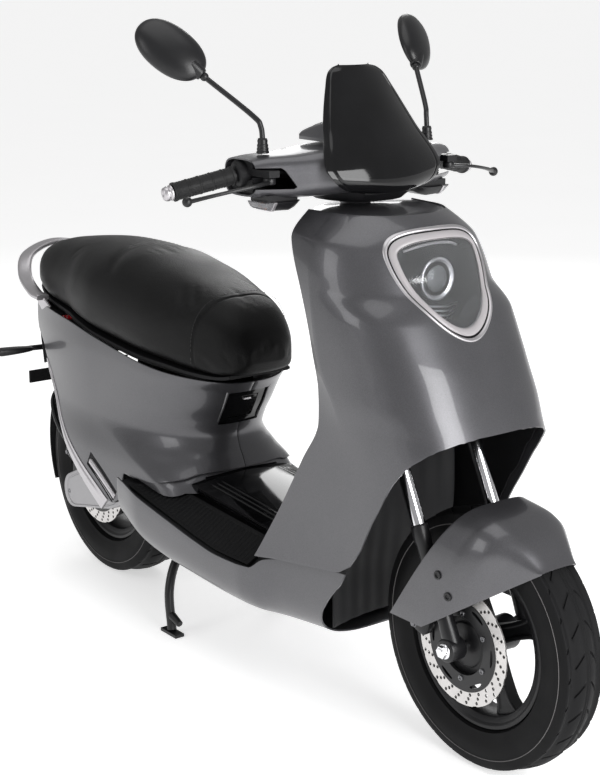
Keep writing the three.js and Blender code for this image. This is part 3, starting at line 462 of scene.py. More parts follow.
def make_looks():
    grey = (0.088, 0.087, 0.094)
    look("body_paint", "paint", grey, 0.36, metal=0.6, grain=(260, 0.02), vary=0.04, coat=0.5, flakes=0.22)
    look("piano_black", "gloss_black", (0.004, 0.004, 0.0045), 0.10, grain=(300, 0.015), vary=0.3,
         specular=0.4)
    look("grained_black", "matte_black", (0.008, 0.008, 0.009), 0.55, grain=(1300, 0.35), cells=1100,
         specular=0.25)
    look("satin_black", "steel_black", (0.009, 0.009, 0.010), 0.34, grain=(700, 0.12), specular=0.4)
    look("cast_black", "cast_black", (0.008, 0.008, 0.009), 0.38, grain=(420, 0.2), specular=0.3)
    look("satin_silver", "silver", (0.50, 0.485, 0.50), 0.33, metal=0.85, grain=(1100, 0.1), vary=0.06,
         anisotropic=0.3)
    look("cover_silver", "silver", (0.36, 0.355, 0.365), 0.42, metal=0.6, grain=(900, 0.12), vary=0.06)
    look("bright_chrome", "chrome", (0.80, 0.80, 0.82), 0.09, metal=1.0, grain=(500, 0.02), vary=0.05)
    look("cast_grey", "steel_black", (0.20, 0.20, 0.21), 0.4, metal=0.9, grain=(700, 0.15))
    look("front_steel", "steel", (0.60, 0.585, 0.575), 0.30, metal=1.0, grain=(1, 0.2), vary=0.08,
         rings=FRONT_AXLE, anisotropic=0.5)
    look("rear_steel", "steel", (0.60, 0.585, 0.575), 0.30, metal=1.0, grain=(1, 0.2), vary=0.08,
         rings=REAR_AXLE, anisotropic=0.5)
    look("tyre_rubber", "tyre", (0.0075, 0.0075, 0.008), 0.60, grain=(800, 0.3), vary=0.2, patch=9,
         specular=0.12)
    look("mould_line", "tyre", (0.10, 0.095, 0.095), 0.5, grain=(900, 0.2))
    look("soft_rubber", "rubber", (0.008, 0.008, 0.0085), 0.55, grain=(1400, 0.3), cells=900, specular=0.3)
    look("mat_rubber", "rubber", (0.005, 0.005, 0.0055), 0.50, grain=(1500, 0.4), cells=1200, specular=0.15)
    look("seat_vinyl", "vinyl", (0.005, 0.005, 0.0052), 0.40, grain=(1500, 0.45), cells=620, vary=0.15,
         patch=6, specular=0.16)
    look("seam_thread", "vinyl", (0.03, 0.03, 0.03), 0.6, grain=(2500, 0.5))
    look("clear_lens", "lens_clear", (0.93, 0.95, 0.97), 0.03, through=0.96, grain=(60, 0.01), vary=0.02)
    look("smoke_lens", "lens_smoke", (0.50, 0.50, 0.52), 0.10, through=0.75, grain=(220, 0.12), vary=0.05)
    look("red_lens", "lens_red", (0.40, 0.008, 0.012), 0.12, through=0.35, grain=(260, 0.15), vary=0.1)
    look("amber_lens", "lens_smoke", (0.75, 0.22, 0.02), 0.15, through=0.4, grain=(260, 0.15), vary=0.1)
    look("mirror_glass", "chrome", (0.86, 0.88, 0.90), 0.03, metal=1.0, grain=(40, 0.002), vary=0.02)
    look("milky_lens", "lens_clear", (0.40, 0.38, 0.39), 0.22, through=0.15, grain=(300, 0.05), vary=0.03)


make_looks()

# ---------------------------------------------------------------- wheels and brakes


def polar(axle, x, radius, angle):
    return Vector((x, axle[0] + radius * math.cos(angle), axle[1] + radius * math.sin(angle)))


def tyre_loops(axle, radius, half, sipes):
    """Rings of the tread and sidewall, whose columns run along the sipes, so that the cuts stay crisp."""
    middle = (RIM_SEAT + radius) / 2
    outline = [(150.4, 0.61), (158.4, 0.61), (161.4, 0.84), (middle, 1.0),
               (lerp(middle, radius, 0.78), 0.92), (radius * 0.958, 0.64), (radius * 0.99, 0.3), (radius, 0)]
    outer = smooth_path([(r, s * half, 0) for r, s in outline[2:]], 44)
    outer = [Vector((outline[0][0], outline[0][1] * half, 0)), Vector((158, 0.61 * half, 0))] + outer
    inner = [Vector((radius - 12, 0, 0)), Vector((radius - 26, 0.5 * half, 0)),
             Vector((middle, 0.82 * half, 0)), Vector((154, 0.42 * half, 0))]
    profile = [Vector((p.x, -p.y, 0)) for p in outer] + outer[-2::-1] + inner[::-1]
    profile += [Vector((p.x, -p.y, 0)) for p in inner[1:]]
    steps = (-0.065, -0.03, 0.03, 0.065, 0.22, 0.40, 0.58, 0.76)
    cut = (0, 1, 1, 0, 0, 0, 0, 0)
    pitch = 2 * math.pi / sipes
    loops = []
    for turn in range(sipes):
        for step, deep in zip(steps, cut):
            loop = []
            for p in profile:
                share = abs(p.y) / half
                on_tread = ramp(middle + 18, middle + 26, p.x) * (p.x > radius - 60)
                sipe = ramp(0.10, 0.18, share) * (1 - ramp(0.86, 0.93, share)) * on_tread
                shoulder = max(0, 1 - abs(p.x - (middle + 14)) / 2.2)
                line = max(0, 1 - abs(p.x - (middle - 22)) / 1.6)
                centre = max(0, 1 - abs(share - 0.06) / 0.05) * (p.x > radius - 6)
                drop = 2.8 * deep * sipe + 1.2 * shoulder + 1.5 * centre - 0.7 * line
                outward = Vector((p.x - middle + 25, p.y)).normalized()
                slant = 0.17 * ramp(0, 1.05, share) * (1 if p.y > 0 else 0.999) + 0.05 * share
                angle = (turn + step) * pitch + slant * ramp(RIM_SEAT + 10, middle + 20, p.x)
                if p.x < radius - 8 and abs(p.y) < half * 0.83 and p.x > 160:
                    drop = 0
                r, x = p.x - outward.x * drop, p.y - outward.y * drop
                loop.append(polar(axle, x, r, angle))
            loops.append(loop)
    return loops


def ring_of(loops):
    """Closes a row of loops round on itself."""
    n = len(loops[0])
    count = len(loops)
    verts = [p for loop in loops for p in loop]
    faces = [[i * n + j, i * n + (j + 1) % n, (i + 1) % count * n + (j + 1) % n, (i + 1) % count * n + j]
             for i in range(count) for j in range(n)]
    return Shape().add(verts, faces)


def cast_spoke(axle, start, angle, width):
    """One cast arm with a shallow pocket in each face, which flares into the rim."""
    path = [polar(axle, 0, start + (139.5 - start) * t / 14, angle) for t in range(15)]

    def section(t):
        waist = 1 - 0.16 * math.sin(math.pi * min(1, t * 1.15))
        half = width * waist + 15 * max(0, t - 0.72) ** 2 / 0.078
        lip, pocket = 12.5, 9.5 if 0.12 < t < 0.86 else 12.5
        inner = half - 6.5
        return [(half, -lip + 2), (half - 2, -lip), (inner, -lip), (inner - 2.5, -pocket),
                (-inner + 2.5, -pocket), (-inner, -lip), (-half + 2, -lip), (-half, -lip + 2),
                (-half, lip - 2), (-half + 2, lip), (-inner, lip), (-inner + 2.5, pocket),
                (inner - 2.5, pocket), (inner, lip), (half - 2, lip), (half, lip - 2)]

    return Shape().sweep(path, section, up=(1, 0, 0))


def hex_bolt(shape, centre, axis, radius=6, height=3.5, flange=1.35):
    """A flanged hexagon bolt head."""
    axis = Vector(axis).normalized()
    washer = radius * flange
    shape.turned(centre, axis, [(0, 0), (0, washer), (1.2, washer), (1.6, radius), (1.7, 0)], 24, 0.4)
    head = [(0, 0), (0, radius), (height, radius), (height, 0)]
    shape.turned(Vector(centre) + axis * 1.3, axis, head, 6, 0.5)


def socket_bolt(shape, centre, axis, radius=6.5, height=4.5):
    """A round bolt head with a socket in it."""
    profile = [(-1, 0), (-1, radius), (height, radius * 0.96), (height, radius * 0.5),
               (height * 0.35, radius * 0.46), (height * 0.3, 0)]
    return shape.turned(centre, axis, profile, 24, 0.6)


def make_tyre(name, axle, size, body):
    radius, half = size
    piece(name + "_tread", ring_of(tyre_loops(axle, radius, half, 28)), "tyre_rubber", body,
          nodes=[name + "_tyre"], smooth=50)
    line = Shape()
    for side in (-1, 1):
        loops = []
        for a in turns(180):
            spot = polar(axle, side * half * 0.985, (RIM_SEAT + radius) / 2 + 16.5, a)
            out = Vector((0, math.cos(a), math.sin(a)))
            loops.append([spot + out * dy + Vector((dx, 0, 0)) for dx, dy in circle(0.9, 6)])
        made = ring_of(loops)
        line.add(made.verts, made.faces)
    piece(name + "_tyre_line", line, "mould_line", body, smooth=60)


def make_rim(name, axle, half, hub, body):
    """The rim's barrel, its hub and four cast spokes."""
    inside = 0.61 * half + 0.6
    edge, well = inside + 5, inside * 0.45
    barrel = [(edge, 157), (inside + 0.6, 157), (inside - 3, RIM_SEAT), (well + 8, RIM_SEAT - 0.5),
              (well, RIM_SEAT - 11), (-well, RIM_SEAT - 11), (-well - 8, RIM_SEAT - 0.5),
              (-inside + 3, RIM_SEAT), (-inside - 0.6, 157), (-edge, 157), (-edge, 150), (-edge + 4, 146),
              (-inside + 2, RIM_SEAT - 15), (0, RIM_SEAT - 17.5), (inside - 2, RIM_SEAT - 15),
              (edge - 4, 146), (edge, 150)]
    barrel = eased(barrel + barrel[:1], 1.1)[:-1]
    rim = ring_of([[polar(axle, x, r, a) for x, r in barrel] for a in turns(160)])
    left, right, drum, carrier = hub
    hub_profile = [(-right - 14, 9.5), (-right - 14, carrier * 0.6), (-right - 11, carrier * 0.64),
                   (-right - 11, carrier), (-right, carrier), (-right, drum), (-14, drum * 0.94),
                   (14, drum * 0.94), (left - 5, drum), (left, drum - 5), (left, 9.5)]
    rim.turned((0, *axle), (1, 0, 0), hub_profile, 96, 1.5)
    for k in range(4):
        spoke = cast_spoke(axle, drum - 8, math.radians(153.5 + 90 * k), 19)
        rim.add(spoke.verts, spoke.faces)
    piece(name + "_cast_rim", rim, "cast_black", body, nodes=[name + "_rim"], bevel=0.7, smooth=40)


def make_disc(name, axle, disc, body, rows=24):
    """The drilled ring, its slotted carrier and their bolts."""
    x, inner, outer = disc
    band = outer - 27
    outline = [polar(axle, x + 1.8, outer - 1.2 * (k % 16 < 3), 2 * math.pi * k / 208) for k in range(208)]
    window = [polar(axle, x + 1.8, band, a) for a in turns(120)]
    holes = []
    for row in range(rows):
        for step in range(3):
            a = 2 * math.pi * (row + 0.24 * step) / rows
            middle = polar(axle, x + 1.8, lerp(band + 6, outer - 6, step / 2), a)
            holes.append([middle + Vector((0, dy, dz)) for dy, dz in circle(3.0, 14)])
    metal = Shape().plate(outline, (-3.6, 0, 0), [window, *holes])
    piece(name + "_brake_disc", metal, name + "_steel", body, nodes=[name + "_disc"], bevel=0.35)
    rim_line = [polar(axle, x + 3, band + 1.5, a) for a in turns(120)]
    bore = [polar(axle, x + 3, 52, a) for a in turns(72)]
    slots = [[polar(axle, x + 3, lerp(70, 76, 0.5 + 0.5 * math.sin(b)), a + 0.22 * math.cos(b))
              for b in turns(20)] for a in turns(6)]
    carrier_plate = Shape().plate(rim_line, (-6, 0, 0), [bore, *slots])
    piece(name + "_disc_carrier", carrier_plate, "satin_black", body, bevel=0.6)
    bolts = Shape()
    for a in turns(6, 0.5):
        socket_bolt(bolts, polar(axle, x - 2.6, inner * 0.96, a), (-1, 0, 0), 5.2, 3)
    piece(name + "_disc_bolts", bolts, "cast_grey", body, bevel=0.3)


def make_valve(name, axle, body):
    valve = Shape().rod(polar(axle, -3, 142, 0.5), polar(axle, -10, 118, 0.5), 3.6, 3.2)
    valve.rod(polar(axle, -10, 118, 0.5), polar(axle, -13, 108, 0.5), 4.2, 3.8)
    piece(name + "_valve", valve, "soft_rubber", body)


def wheel(name, axle, size, hub, disc):
    """One wheel: size is (radius, half width), hub (left, right, drum, carrier), disc (x, inner, outer)."""
    body = name + "_wheel"
    make_tyre(name, axle, size, body)
    make_rim(name, axle, size[1], hub, body)
    make_disc(name, axle, disc, body)
    make_valve(name, axle, body)


def caliper(name, node, body, axle, x, angle, reach):
    """A two-piston caliper over the disc: two halves, a bridge, bolts and two round caps."""
    turn = (Matrix.Translation((0, *axle)) @ Matrix.Rotation(angle, 4, "X")).to_3x3()
    origin = Vector((0, *axle))

    def put(p):
        return turn @ Vector(p) + origin

    block = Shape()
    for lo, hi in ((x - 17, x - 3.8), (x + 3.8, x + 15)):
        loops = []
        for t in (0, 0.12, 0.88, 1):
            shrink = 2.2 if t in (0, 1) else 0
            px = lerp(lo, hi, t)
            loops.append([put((px, reach - 1 + (25 - shrink) * power(math.cos(a), 0.42),
                               (33 - shrink) * power(math.sin(a), 0.55))) for a in turns(40, 0.5)])
        block.loft(loops)
    bridge = [put((x + dx, reach + dy, -20)) for dx, dy in ((-10, 17), (10, 17), (10, 23.5), (-10, 23.5))]
    far = [p + turn @ Vector((0, 0, 40)) for p in bridge]
    block.loft([bridge, far])
    piece(name, block, "cast_black", body, nodes=[node], bevel=1.1)
    bolts = Shape()
    for z in (-23, 23):
        hex_bolt(bolts, put((x - 17, reach + 8, z)), (-1, 0, 0), 5.5, 4)
    for z in (-11, 11):
        bolts.turned(put((x - 16.5, reach - 3, z)), (-1, 0, 0),
                     [(0, 0), (0, 8.5), (1.6, 8), (1.6, 3), (0.8, 0)], 28, 0.5)
    piece(name + "_bolts", bolts, "cast_grey", body, bevel=0.3)


def make_wheels():
    wheel("front", FRONT_AXLE, FRONT_TYRE, (50, 44, 32, 64), (-63, 62, 108))
    wheel("rear", REAR_AXLE, REAR_TYRE, (62, 52, 104, 60), (-71, 62, 113))
    caliper("front_brake_caliper", "front_caliper", "fork_slider", FRONT_AXLE, -63, 0.3, 98)
    caliper("rear_brake_caliper", "rear_caliper", "swingarm", REAR_AXLE, -71, 0.5, 100)


# ---------------------------------------------------------------- fork and front fender


def on_fork(x, z):
    return Vector((x, fork_y(z), z))


def make_fork():
    for word, side in RIGHT_AND_LEFT:
        leg = Shape()
        low, high = on_fork(-FORK_SPACING, 225), on_fork(-FORK_SPACING, 432)
        length = (high - low).length
        leg.turned(low, high - low, [(0, 0), (0, 12), (4, 15), (38, 15.5), (60, 14.2), (length - 34, 14.2),
                                     (length - 28, 15.5), (length - 4, 15.5), (length, 14.5),
                                     (length, 13.2), (length - 12, 13.2), (length - 12, 0)], 48, 1.2)
        clamp = [(0, 8), (0, 19), (3, 21), (32, 21), (35, 18.5), (35, 8)]
        leg.turned((-71, *FRONT_AXLE), (-1, 0, 0), clamp, 48, 1.2)
        leg.rod((-100, -622, 350), (-88, -596, 350), 8, ease=1.2)
        piece("fork_slider_" + word, leg.on_side(side), "satin_black", "fork_slider",
              nodes=["fork_leg_" + word], bevel=0.6)
        tube = Shape().rod(on_fork(-FORK_SPACING, 335), on_fork(-FORK_SPACING, 572), 12.5, sides=48)
        piece("fork_tube_" + word, tube.on_side(side), "bright_chrome", "steering",
              nodes=["stanchion_" + word])
    axle = Shape()
    axle.rod((-117.6, *FRONT_AXLE), (68.6, *FRONT_AXLE), 7.5)
    axle.turned((-105.5, *FRONT_AXLE), (-1, 0, 0), [(0, 0), (0, 14), (2, 14), (3, 11.8), (3.1, 0)], 40, 0.6)
    axle.turned((-108, *FRONT_AXLE), (-1, 0, 0), [(0, 0), (0, 11.8), (7.6, 11.8), (8, 9.5), (8, 0)], 6, 0.7)
    axle.turned((106, *FRONT_AXLE), (-1, 0, 0), [(0, 0), (0, 10), (3, 12), (38, 12), (38, 0)], 40, 0.8)
    piece("front_axle", axle, "bright_chrome", "fork_slider", bevel=0.5)


def fender_point(u, v):
    a = (u - 0.5) * math.pi
    drop = 1 - abs(math.cos(a)) ** 0.6
    x = power(math.sin(a), 0.5) * FENDER_WIDTH(v)
    z = lerp(FENDER_CROWN_Z(v), lerp(403, 262, min(1, v / 0.75)), drop)
    return Vector((x, lerp(FENDER_CROWN_Y(v), FENDER_EDGE_Y(v), drop), z))


FENDER_CROWN_Y = curve([(0, -800), (0.3, -758), (0.7, -699), (1, -650)])
FENDER_CROWN_Z = curve([(0, 409), (0.3, 449), (0.7, 477), (1, 484)])
FENDER_EDGE_Y = curve([(0, -796), (0.75, -587), (1, -505)])
FENDER_WIDTH = curve([(0, 40), (0.25, 74), (0.5, 106), (0.7, 113), (1, 114)])


def make_fender():
    skin = Shape().grid(fender_point, 72, 48)
    piece("front_fender_skin", skin, "body_paint", "fork_slider", nodes=["front_fender"], thick=PANEL,
          bevel=0.9)

    def inside(u, v):
        p = fender_point(lerp(0.06, 0.94, u), lerp(0.07, 0.97, v))
        return Vector((p.x * 0.93, p.y + 4, p.z - 7))

    liner = Shape().grid(inside, 40, 24)
    piece("front_fender_liner", liner, "grained_black", "fork_slider", thick=1.5)
    bolts = Shape()
    for v, u in ((0.805, 0.0975), (0.61, 0.035)):
        spot = fender_point(u, v)
        side = (fender_point(u + 0.02, v) - fender_point(u - 0.02, v)).cross(
            fender_point(u, v + 0.02) - fender_point(u, v - 0.02))
        socket_bolt(bolts, spot - side.normalized() * 0.5, side, 8, 3.5)
    piece("front_fender_bolts", bolts.both(), "satin_black", "fork_slider")


# ---------------------------------------------------------------- front body

NOSE_Y = curve([(285, -770), (400, -737), (513, -694), (603, -652), (620, -645), (700, -607),
                (750, -578), (820, -537), (929, -475), (968, -410)])
CREASE_Y = curve([(285, -420), (424, -465), (513, -470), (634, -427), (700, -385), (775, -370),
                  (886, -347), (968, -330)])
SHIELD_HALF = curve([(285, 172), (364, 169), (424, 170), (513, 172), (600, 178), (650, 183),
                     (750, 185), (850, 180), (900, 168), (940, 126), (968, 92)])
SHIELD_POWER = curve([(600, 3), (780, 3), (830, 2.1), (968, 2)])
REAR_Y = curve([(285, -198), (337, -228), (424, -279), (513, -331), (592, -376), (650, -378),
                (718, -364), (820, -330), (905, -290), (968, -272)])
REAR_HALF = curve([(285, 194), (337, 186), (424, 178), (592, 174), (718, 179), (820, 178),
                   (905, 168), (968, 96)])
SEAM_Z = curve([(-440, 328), (-377, 320), (-318, 312), (-263, 305), (-200, 294)])
ARCH_Y = curve([(100, -470), (178, -359), (364, -476), (424, -508), (451, -525), (482, -544),
                (513, -562), (550, -590), (567, -607), (603, -652), (640, -720)])
CREASE_SHARE = 0.72


def shield_point(side, z):
    """One horizontal section of the shield: a rounded nose, then a straight flank to the rear edge."""
    k = abs(side)
    nose, crease, half = NOSE_Y(z), CREASE_Y(z), SHIELD_HALF(z)
    if k <= CREASE_SHARE:
        a = k / CREASE_SHARE * math.pi / 2
        e = 2 / SHIELD_POWER(z)
        x, y = half * math.sin(a) ** e, crease + (nose - crease) * max(0, math.cos(a)) ** e
    else:
        t = (k - CREASE_SHARE) / (1 - CREASE_SHARE)
        x, y = lerp(half, REAR_HALF(z), t), lerp(crease, REAR_Y(z), t)
    return Vector((math.copysign(x, side), y, z))


def shield_foot(side):
    """The lowest height of a shield column: its seam, or the wheel arch if that cuts it higher."""
    low = SEAM_Z(shield_point(side, 310).y)
    z = 640
    while z > low and shield_point(side, z).y > ARCH_Y(z):
        z -= 2
    return max(low, z + 1)


def bezier(a, b, c, d, steps):
    return [(a * (1 - t) ** 3 + b * 3 * t * (1 - t) ** 2 + c * 3 * t * t * (1 - t) + d * t ** 3)
            for t in (k / steps for k in range(steps))]


LAMP_TOP, LAMP_BOTTOM, LAMP_SHOULDER, LAMP_HALF = 930, 750, 893, 106


def lamp_outline(grow, steps=24):
    """The headlight's rounded triangle as (x, z), grown evenly."""
    top, bottom, half = LAMP_TOP + grow, LAMP_BOTTOM - grow, LAMP_HALF + grow
    side = bezier(Vector((0, top)), Vector((-0.55 * half, top)), Vector((-half, top - 6)),
                  Vector((-half, LAMP_SHOULDER - 8)), steps)
    side += bezier(Vector((-half, LAMP_SHOULDER - 8)), Vector((-half, LAMP_SHOULDER - 68)),
                   Vector((-0.44 * half, bottom)), Vector((0, bottom)), steps)
    return side + [Vector((-p.x, p.y)) for p in [Vector((0, bottom))] + side[:0:-1]]


def in_outline(outline, x, z):
    inside = False
    for a, b in zip(outline, outline[1:] + outline[:1]):
        if (a.y > z) != (b.y > z) and x < (b.x - a.x) * (z - a.y) / (b.y - a.y) + a.x:
            inside = not inside
    return inside


def nose_depth(x, z):
    """The y of the shield's skin at x, z."""
    half = SHIELD_HALF(z)
    e = 2 / SHIELD_POWER(z)
    s = min(1, abs(x) / half) ** (1 / e)
    return CREASE_Y(z) + (NOSE_Y(z) - CREASE_Y(z)) * max(0, 1 - s * s) ** (e / 2)


def on_nose(p, out):
    """A lamp outline point laid on the nose, moved outwards by out."""
    return Vector((p.x, nose_depth(p.x, p.y) - out, p.y))


def make_shield():
    nu, nv = 168, 120
    columns = [2 * i / nu - 1 for i in range(nu + 1)]
    feet = [shield_foot(c) for c in columns]
    between = [0.25 * a + 0.5 * b + 0.25 * c for a, b, c in zip(feet, feet[1:], feet[2:])]
    feet = [feet[0], *between, feet[-1]]
    cutout = Shape().plate([Vector((p.x, -380, p.y)) for p in lamp_outline(-3)], (0, -300, 0))

    def surface(u, v):
        i = round(u * nu)
        return shield_point(columns[i], lerp(feet[i], SHIELD_TOP, v))

    skin = Shape().grid(surface, nu, nv)
    piece("front_shield_skin", skin, "body_paint", "chassis", nodes=["front_shield"], thick=PANEL, bevel=0.8,
          smooth=32, cuts=[cutout])
    bowl = lamp_outline(2)

    def inside(u, v):
        foot = feet[round(lerp(0.02, 0.98, u) * nu)] + 10
        p = shield_point(lerp(-0.96, 0.96, u), lerp(foot, SHIELD_TOP - 6, v))
        return Vector((p.x * 0.955, p.y + 9, p.z))

    liner = Shape().grid(inside, 60, 40, hole=lambda m: m.y < -380 and in_outline(bowl, m.x, m.z))
    piece("front_shield_liner", liner, "grained_black", "chassis", thick=1.5)
    make_top_cover()


def make_top_cover():
    """The dome that closes the shield's top round the steering column."""
    centre = Vector((0, steer_y(SHIELD_TOP)))

    def surface(u, v):
        side = lerp(-0.93, 0.93, u)
        z = SHIELD_TOP - 3
        front = shield_point(side, z)
        x = front.x * 0.985
        back = leg_point(x / (REAR_HALF(z) - 9), z).y - 1
        y = lerp(front.y + 2, back, v)
        away = math.hypot(x - centre.x, y - centre.y)
        return Vector((x, y, z + 6 * max(0, 1 - (away / 150) ** 2) * math.sin(math.pi * min(1, v + 0.02))))

    hole = Shape().rod((0, steer_y(930), 930), (0, steer_y(990), 990), 27)
    piece("shield_top_dome", Shape().grid(surface, 64, 48), "body_paint", "chassis", thick=2, bevel=0.5,
          cuts=[hole])
    sections = ((959, 56, 66, 40), (962, 78, 86, 46), (976, 98, 106, 52), (992, 108, 114, 56))
    loops = [[Vector((half * power(math.cos(a), 0.8),
                      steer_y(z) + (front if math.sin(a) < 0 else back) * power(math.sin(a), 0.8), z))
              for a in turns(56)] for z, half, front, back in sections]
    piece("column_shroud", Shape().loft(loops), "grained_black", "steering", bevel=0.8)


def ring_band(outline_in, outline_out, lift_in, lift_out, rows, crown):
    """A crowned band between two lamp outlines on the nose."""
    loops = []
    for r in range(rows + 1):
        t = r / rows
        rise = lerp(lift_in, lift_out, t) + crown * math.sin(math.pi * t)
        loops.append([on_nose(a.lerp(b, t), rise) for a, b in zip(outline_in, outline_out)])
    return loops


def lamp_ring(name, finish, outer, inner, rise, crown, depth=14, nodes=()):
    """One ring of the headlight: between two outlines, crowned, with its inner edge turned back."""
    front = ring_band(lamp_outline(inner), lamp_outline(outer), rise, rise, 6, crown)
    first, last = ([p + Vector((0, depth, 0)) for p in loop] for loop in (front[0], front[-1]))
    ring = Shape().loft([first, *front, last], caps=False)
    piece(name, ring, finish, "chassis", nodes=nodes, thick=1, smooth=50)


def make_headlight():
    lamp_ring("headlight_rim", "satin_silver", 1.5, -2.8, -0.5, 1.8, nodes=["headlight_bezel"])
    lamp_ring("headlight_gasket", "piano_black", -2.8, -7, -3.5, 0.8)
    lamp_ring("headlight_day_ring", "milky_lens", -7, -18, -3.0, 2.2, depth=20)

    loops = []
    for t in (0, 0.15, 0.4, 0.7, 1):
        edge = [on_nose(p, 0) for p in lamp_outline(lerp(-18, -32, t))]
        loops.append([Vector((p.x, max(p.y + 2 + 60 * t, lerp(p.y, -446, t)), p.z)) for p in edge])
    wall = Shape().loft(loops, caps=False)
    base = [Vector((p.x, -446, p.z)) for p in loops[-1]]
    wall.plate(base, (0, 3, 0))
    piece("headlight_bowl", wall, "piano_black", "chassis", thick=1, smooth=40)
    make_projector()
    glass = Shape()
    cover = lamp_outline(-17.5)
    loops = [[on_nose(Vector((0, 842)).lerp(p, t), -3.5 - t * t) for p in cover]
             for t in (0.02, 0.15, 0.3, 0.45, 0.6, 0.75, 0.88, 1.0)]
    glass.loft(loops[::-1], caps=False)
    glass.add(loops[0], [list(range(len(cover)))])
    piece("headlight_glass", glass, "clear_lens", "chassis", nodes=["headlight_lens"], thick=2, smooth=60)


def make_projector():
    """A generic round projector lens in a dark turned shroud, with a small light strip over it."""
    centre = Vector((0, -462, 842))
    shroud = Shape().turned(centre, (0, -1, 0), [(0, 0), (0, 44), (14, 44), (20, 41), (24, 36), (20, 33),
                                                 (8, 30), (8, 0)], 72, 1.2)
    piece("projector_shroud", shroud, "piano_black", "chassis", bevel=0.4)
    ring = Shape().turned(centre + Vector((0, -21, 0)), (0, -1, 0),
                          [(0, 30), (0, 38.5), (2.5, 38), (3.5, 36), (3, 33.5), (0, 30)], 72, 0.5)
    piece("projector_ring", ring, "satin_silver", "chassis", smooth=50)
    dome = [(4 + 15 * math.sin(a), 29 * math.cos(a)) for a in (math.pi / 2 * k / 12 for k in range(13))]
    lens = Shape().turned(centre + Vector((0, -8, 0)), (0, -1, 0), [(0, 0), (0, 29)] + dome, 64, 0)
    piece("projector_lens", lens, "smoke_lens", "chassis", smooth=50)
    brow = Shape()
    arch = [(-60, -462, 893), (-34, -474, 901), (0, -478, 904), (34, -474, 901), (60, -462, 893)]
    brow.sweep(smooth_path(arch, 40), lambda t: rounded_bar(5, 6, 16), up=(0, -1, 0))
    piece("headlight_light_strip", brow, "milky_lens", "chassis", smooth=50)
    chin = Shape()
    for row in range(4):
        z = 800 - row * 8
        width = 34 - row * 6
        chin.sweep(smooth_path([(-width, -500, z), (0, -508, z - 2), (width, -500, z)], 16),
                   lambda t: rounded_bar(3, 4, 12), up=(0, -1, 0))
    piece("headlight_lower_ribs", chin, "cast_grey", "chassis", smooth=50)


LEG_BULGE = curve([(285, 24), (345, 62), (450, 90), (600, 94), (750, 82), (956, 70)])


def leg_point(k, z):
    return Vector((k * (REAR_HALF(z) - 9), REAR_Y(z) - 3 + LEG_BULGE(z) * (1 - k * k), z))


def make_leg_shield():
    def surface(u, v):
        k = 1 - 2 * u
        z = lerp(346 - 54 * abs(k) ** 6, 946, v)
        p = leg_point(k, z)
        groove = 2.2 * math.exp(-((abs(k) - 0.78) / 0.02) ** 2)
        return p - Vector((0, groove, 0))

    skin = Shape().grid(surface, 96, 72)
    piece("leg_shield_skin", skin, "grained_black", "chassis", nodes=["leg_shield"], thick=PANEL, bevel=0.8)
    make_glove_boxes()


def glove_lid_point(u, v):
    crown = 2.6 * (1 - (2 * u - 1) ** 8) * (1 - (2 * v - 1) ** 8)
    return leg_point(lerp(0.24, 0.74, 1 - u), lerp(690, 850, v)) + Vector((0, 1.6 + crown, 0))


def make_glove_boxes():
    """Two lids, a luggage hook and a key switch on the leg shield."""
    for word, side in RIGHT_AND_LEFT:
        cover = Shape().grid(glove_lid_point, 28, 28)
        piece("glove_lid_" + word, cover if side > 0 else cover.mirrored(), "grained_black", "chassis",
              thick=2, bevel=0.7)
    top = leg_point(0, 770)
    hook = Shape().pipe([top + Vector((0, -3, 20)), top + Vector((0, 14, 14)), top + Vector((0, 22, -6)),
                         top + Vector((0, 34, -12)), top + Vector((0, 38, 4))], lambda t: lerp(5.5, 4, t))
    hook.box(top + Vector((-11, -3, 4)), top + Vector((11, 3, 34)))
    piece("bag_hook", hook, "satin_black", "chassis", bevel=0.8)
    spot = leg_point(-0.2, 880)
    key = Shape().turned(spot - Vector((0, 2, 0)), (0, 1, 0.1),
                         [(0, 0), (0, 19), (5, 18), (6, 15), (4, 13), (7, 11), (7.5, 0)], 48, 0.6)
    key.box(spot + Vector((-1.4, 4.5, -5)), spot + Vector((1.4, 6.2, 5)))
    piece("key_switch", key, "bright_chrome", "chassis", bevel=0.4)


def make_wheel_well():
    back_y = curve([(182, -352), (260, -352), (400, -364), (500, -358), (600, -350)])

    def surface(u, v):
        z = lerp(194, 560, v)
        k = u * 2 - 1
        rib = 1.2 * (0.5 + 0.5 * math.cos(k * 26))
        return Vector((k * lerp(136, 148, v), back_y(z) - 22 * k * k - rib, z))

    piece("wheel_well_wall", Shape().grid(surface, 96, 40), "grained_black", "chassis", nodes=["wheel_well"],
          thick=PANEL, bevel=0.5)


# ---------------------------------------------------------------- floor

FLOOR_HALF = curve([(-440, 167), (-360, 170), (-263, 179), (-190, 193), (-150, 198), (200, 199), (300, 186)])
RIM_Z = curve([(-440, 326), (-377, 318), (-318, 310), (-263, 303), (-222, 292), (-185, 268),
               (-84, 264), (-13, 271), (77, 285), (185, 303), (250, 316), (300, 322)])
BELLY_Z = curve([(-440, 174), (-359, 169), (-185, 160), (100, 166), (170, 172), (248, 190), (300, 210)])
MAT_INNER_Z = curve([(-176, 306), (0, 316), (118, 323), (270, 330)])
MAT_OUTER_Z = curve([(-180, 270), (-84, 268), (-13, 275), (77, 289), (185, 307), (260, 321)])
TUNNEL_Z = curve([(-176, 338), (15, 353), (125, 361)])
MAT_INNER, MAT_OUTER, TUNNEL_HALF = 126, 188, 122


def belly_point(a, y):
    rim = RIM_Z(y)
    return Vector((power(math.sin(a), 0.5) * FLOOR_HALF(y), y,
                   rim - (rim - BELLY_Z(y)) * max(0, math.cos(a)) ** 0.5))


def belly_start(a):
    """How far forward the fairing reaches before the wheel arch cuts it."""
    y = -445
    while y < -340 and y < ARCH_Y(belly_point(a, y).z):
        y += 1
    return y


